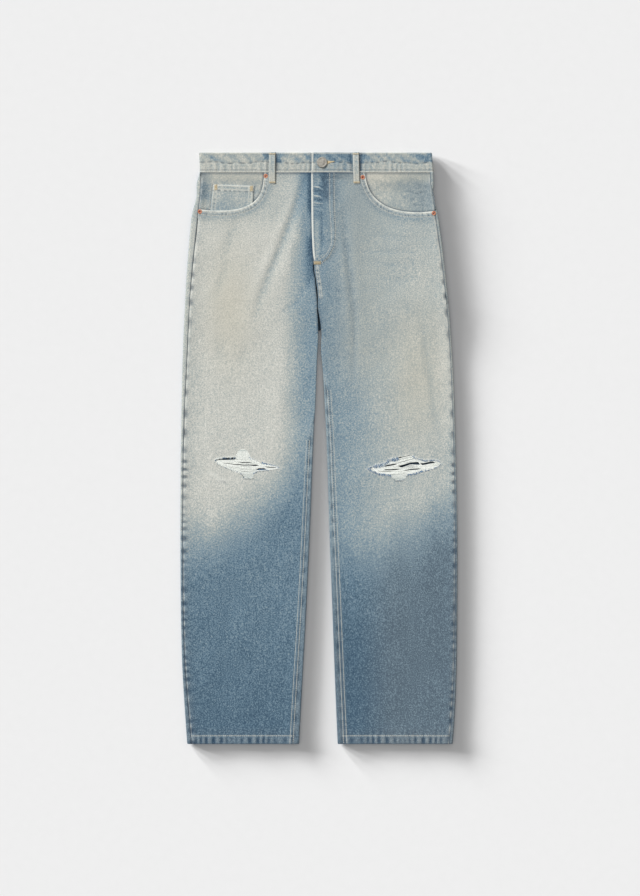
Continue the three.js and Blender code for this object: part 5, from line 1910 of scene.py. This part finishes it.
def fringe_of(leg, seed):
    """Curved hairs from the torn edge into the hole: root + length * share * direction."""
    rng = np.random.default_rng(seed)
    lines, which = [], []
    for edge, start, end, number, blue_share, shortest, longest in FRINGES[leg.name]:
        x = rng.uniform(start, end, (number, 1))
        way = -1 if edge == "upper" else 1
        blue = rng.random((number, 1)) < blue_share
        length = rng.uniform(shortest, longest, (number, 1))
        lean = rng.normal(0, 1, (number, 1)) * np.where(blue, 0.45, 0.9)
        share = np.linspace(0, 1, 6)[None, :]
        curl = rng.normal(0, 0.6, (number, 1))
        root = rip_edge(leg, x, edge)
        along = x + length * share * np.sin(lean) + curl * share**2
        across = root - way * 1.2 + way * length * share * np.abs(np.cos(lean))
        rise = front_cloth(leg, x, root)[0] + 0.75 + 0.3 * np.sin(np.pi * share) - 0.2 * share
        lines.append(np.stack([along, across, rise], axis=2))
        which.append(blue[:, 0].astype(int))
    return np.concatenate(lines), np.concatenate(which)


yarns, frays = [], []
for leg, seed in ((right, 71), (left, 72)):
    lines, thick = yarns_of(leg, seed)
    patch, which = bare_of(leg, seed + 5)
    which = np.concatenate([np.zeros(len(lines), int), which])
    lines, thick = np.concatenate([lines, patch]), np.concatenate([thick, np.full(len(patch), 1.0)])
    node = f"rip_threads_{leg.name}"
    name = f"weft_yarns_{leg.name}"
    yarns.append(tubes(name, lines, thick, 6, [weft, bare], node, which=which, flat=0.8))
    lines, which = fringe_of(leg, seed + 10)
    name = f"torn_ends_{leg.name}"
    frays.append(tubes(name, lines, np.full(len(lines), 0.5), 4, [weft, warp], which=which))
for made in yarns + frays:
    print(made.name, len(made.data.polygons), "cells")

# %% [markdown]
# ## What each sheet was cut as
# A maker wants to know how much cloth to cut. Each cloth piece states the size of its flat cut, which
# is its own box unless the cloth wraps further, and the area of its middle surface, summed over its
# cells. Both come from the shell itself, so they say how much cloth it takes and prove nothing about how
# it would stretch. The area counts the cloth in the folds of a back panel, and the width of its box
# doesn't. The waistband's cut is its length round the strip.


def cut(made, long=None):
    """The flat cut of a cloth piece: cut width = max(box, 1.02 * area / length), or a strip's own length."""
    mesh = made.data
    corners = np.empty(len(mesh.vertices) * 3)
    mesh.vertices.foreach_get("co", corners)
    corners = corners.reshape(-1, 3)
    width, length = np.ptp(corners[:, 0]), np.ptp(corners[:, 1])
    area = sum(face.area for face in mesh.polygons)
    if not made.modifiers:
        area = area / 2  # these pieces are made with both faces
    wide = long or max(width, 1.02 * area / length)
    area = min(area, wide * length)
    return round(float(wide), 3), round(float(length), 3), round(float(area), 4)


for made, other, extra in (
    (fronts[0], "denim_back_right", [stitches["right"]]),
    (fronts[1], "denim_back_left", [stitches["left"]]),
    (backs[0], "floor", [stitches["back"]]),
    (backs[1], "floor", []),
    (yokes[0], "floor", []),
    (yokes[1], "floor", []),
    (facings[0], "denim_yoke_right", []),
    (facings[1], "denim_yoke_left", []),
    (coin, "denim_facing_right", [stitches["coin"], coin_tacks]),
    (back_pockets[0], "floor", []),
    (back_pockets[1], "floor", []),
):
    print(made.name, "cut (width, length, area):", cut(made))
print("waistband:", cut(waistband, 0.88))
for made in loops:
    print(made.name, cut(made))

# %% [markdown]
# ## Floor, light and camera
# The jeans lie on a pale studio floor. Three soft lamps stand low at the upper left, side by side, and
# their shadows blend into one long soft shadow. A weaker lamp a little higher darkens the floor near
# the cloth. These four light only the floor. One more lamp, higher up, lights only the garment and
# shows the relief of the cloth, so that neither light spoils the other. The camera looks straight down.

# %% Set the stage
FLOOR_HALF = 6.0  # metres from the middle to each side
FLOOR_TOP = -0.0004  # metres, just under the cloth
floor_corners = [(x * FLOOR_HALF, y * FLOOR_HALF, FLOOR_TOP) for x, y in ((-1, -1), (1, -1), (1, 1), (-1, 1))]
floor_mesh = bpy.data.meshes.new("floor")
floor_mesh.from_pydata(floor_corners, [], [(0, 1, 2, 3)])
floor_mesh.materials.append(
    plain_material("studio_floor", 1.0, [(0.2, "ededed"), (0.8, "efefef")], 60, depth=0.00001)
)
floor = bpy.data.objects.new("floor", floor_mesh)
bpy.context.scene.collection.objects.link(floor)
floor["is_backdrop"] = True

scene = bpy.context.scene
scene.view_settings.view_transform = "Standard"
world = bpy.data.worlds.new("studio")
scene.world = world
world.use_nodes = True
world.node_tree.nodes["Background"].inputs["Color"].default_value = (1, 1, 1, 1)
world.node_tree.nodes["Background"].inputs["Strength"].default_value = 0.38


def lamp(name, heading, elevation, angle, strength, seen_by):
    """A soft sun from a heading in the plan, counted from +x towards +y, that lights only some pieces."""
    data = bpy.data.lights.new(name, "SUN")
    data.angle = math.radians(angle)
    data.energy = strength
    made = bpy.data.objects.new(name, data)
    made.rotation_mode = "XYZ"
    made.rotation_euler = (0.0, math.radians(90 - elevation), math.radians(heading))
    scene.collection.objects.link(made)
    group = bpy.data.collections.new(f"{name}_lights")
    for thing in seen_by:
        group.objects.link(thing)
    made.light_linking.receiver_collection = group
    return made


garment = list(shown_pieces())
LOW, MIDDLE, HIGH = 5.9, 12.0, 38.0  # degrees above the floor
for number, heading in enumerate((130, 144, 158)):
    lamp(f"floor_lamp_{number}", heading, LOW, 7.0, 0.17 * math.pi / math.sin(math.radians(LOW)), [floor])
lamp("floor_fill", 144, MIDDLE, 12, 0.11 * math.pi / math.sin(math.radians(MIDDLE)), [floor])
lamp("cloth_lamp", 128, HIGH, 12, 0.6 * math.pi / math.sin(math.radians(HIGH)), garment)

camera_data = bpy.data.cameras.new("camera")
camera_data.lens = 100
camera_data.sensor_width = 36
camera = bpy.data.objects.new("camera", camera_data)
camera.location = (0.0018, 0.0, 4.48)
scene.collection.objects.link(camera)
scene.camera = camera
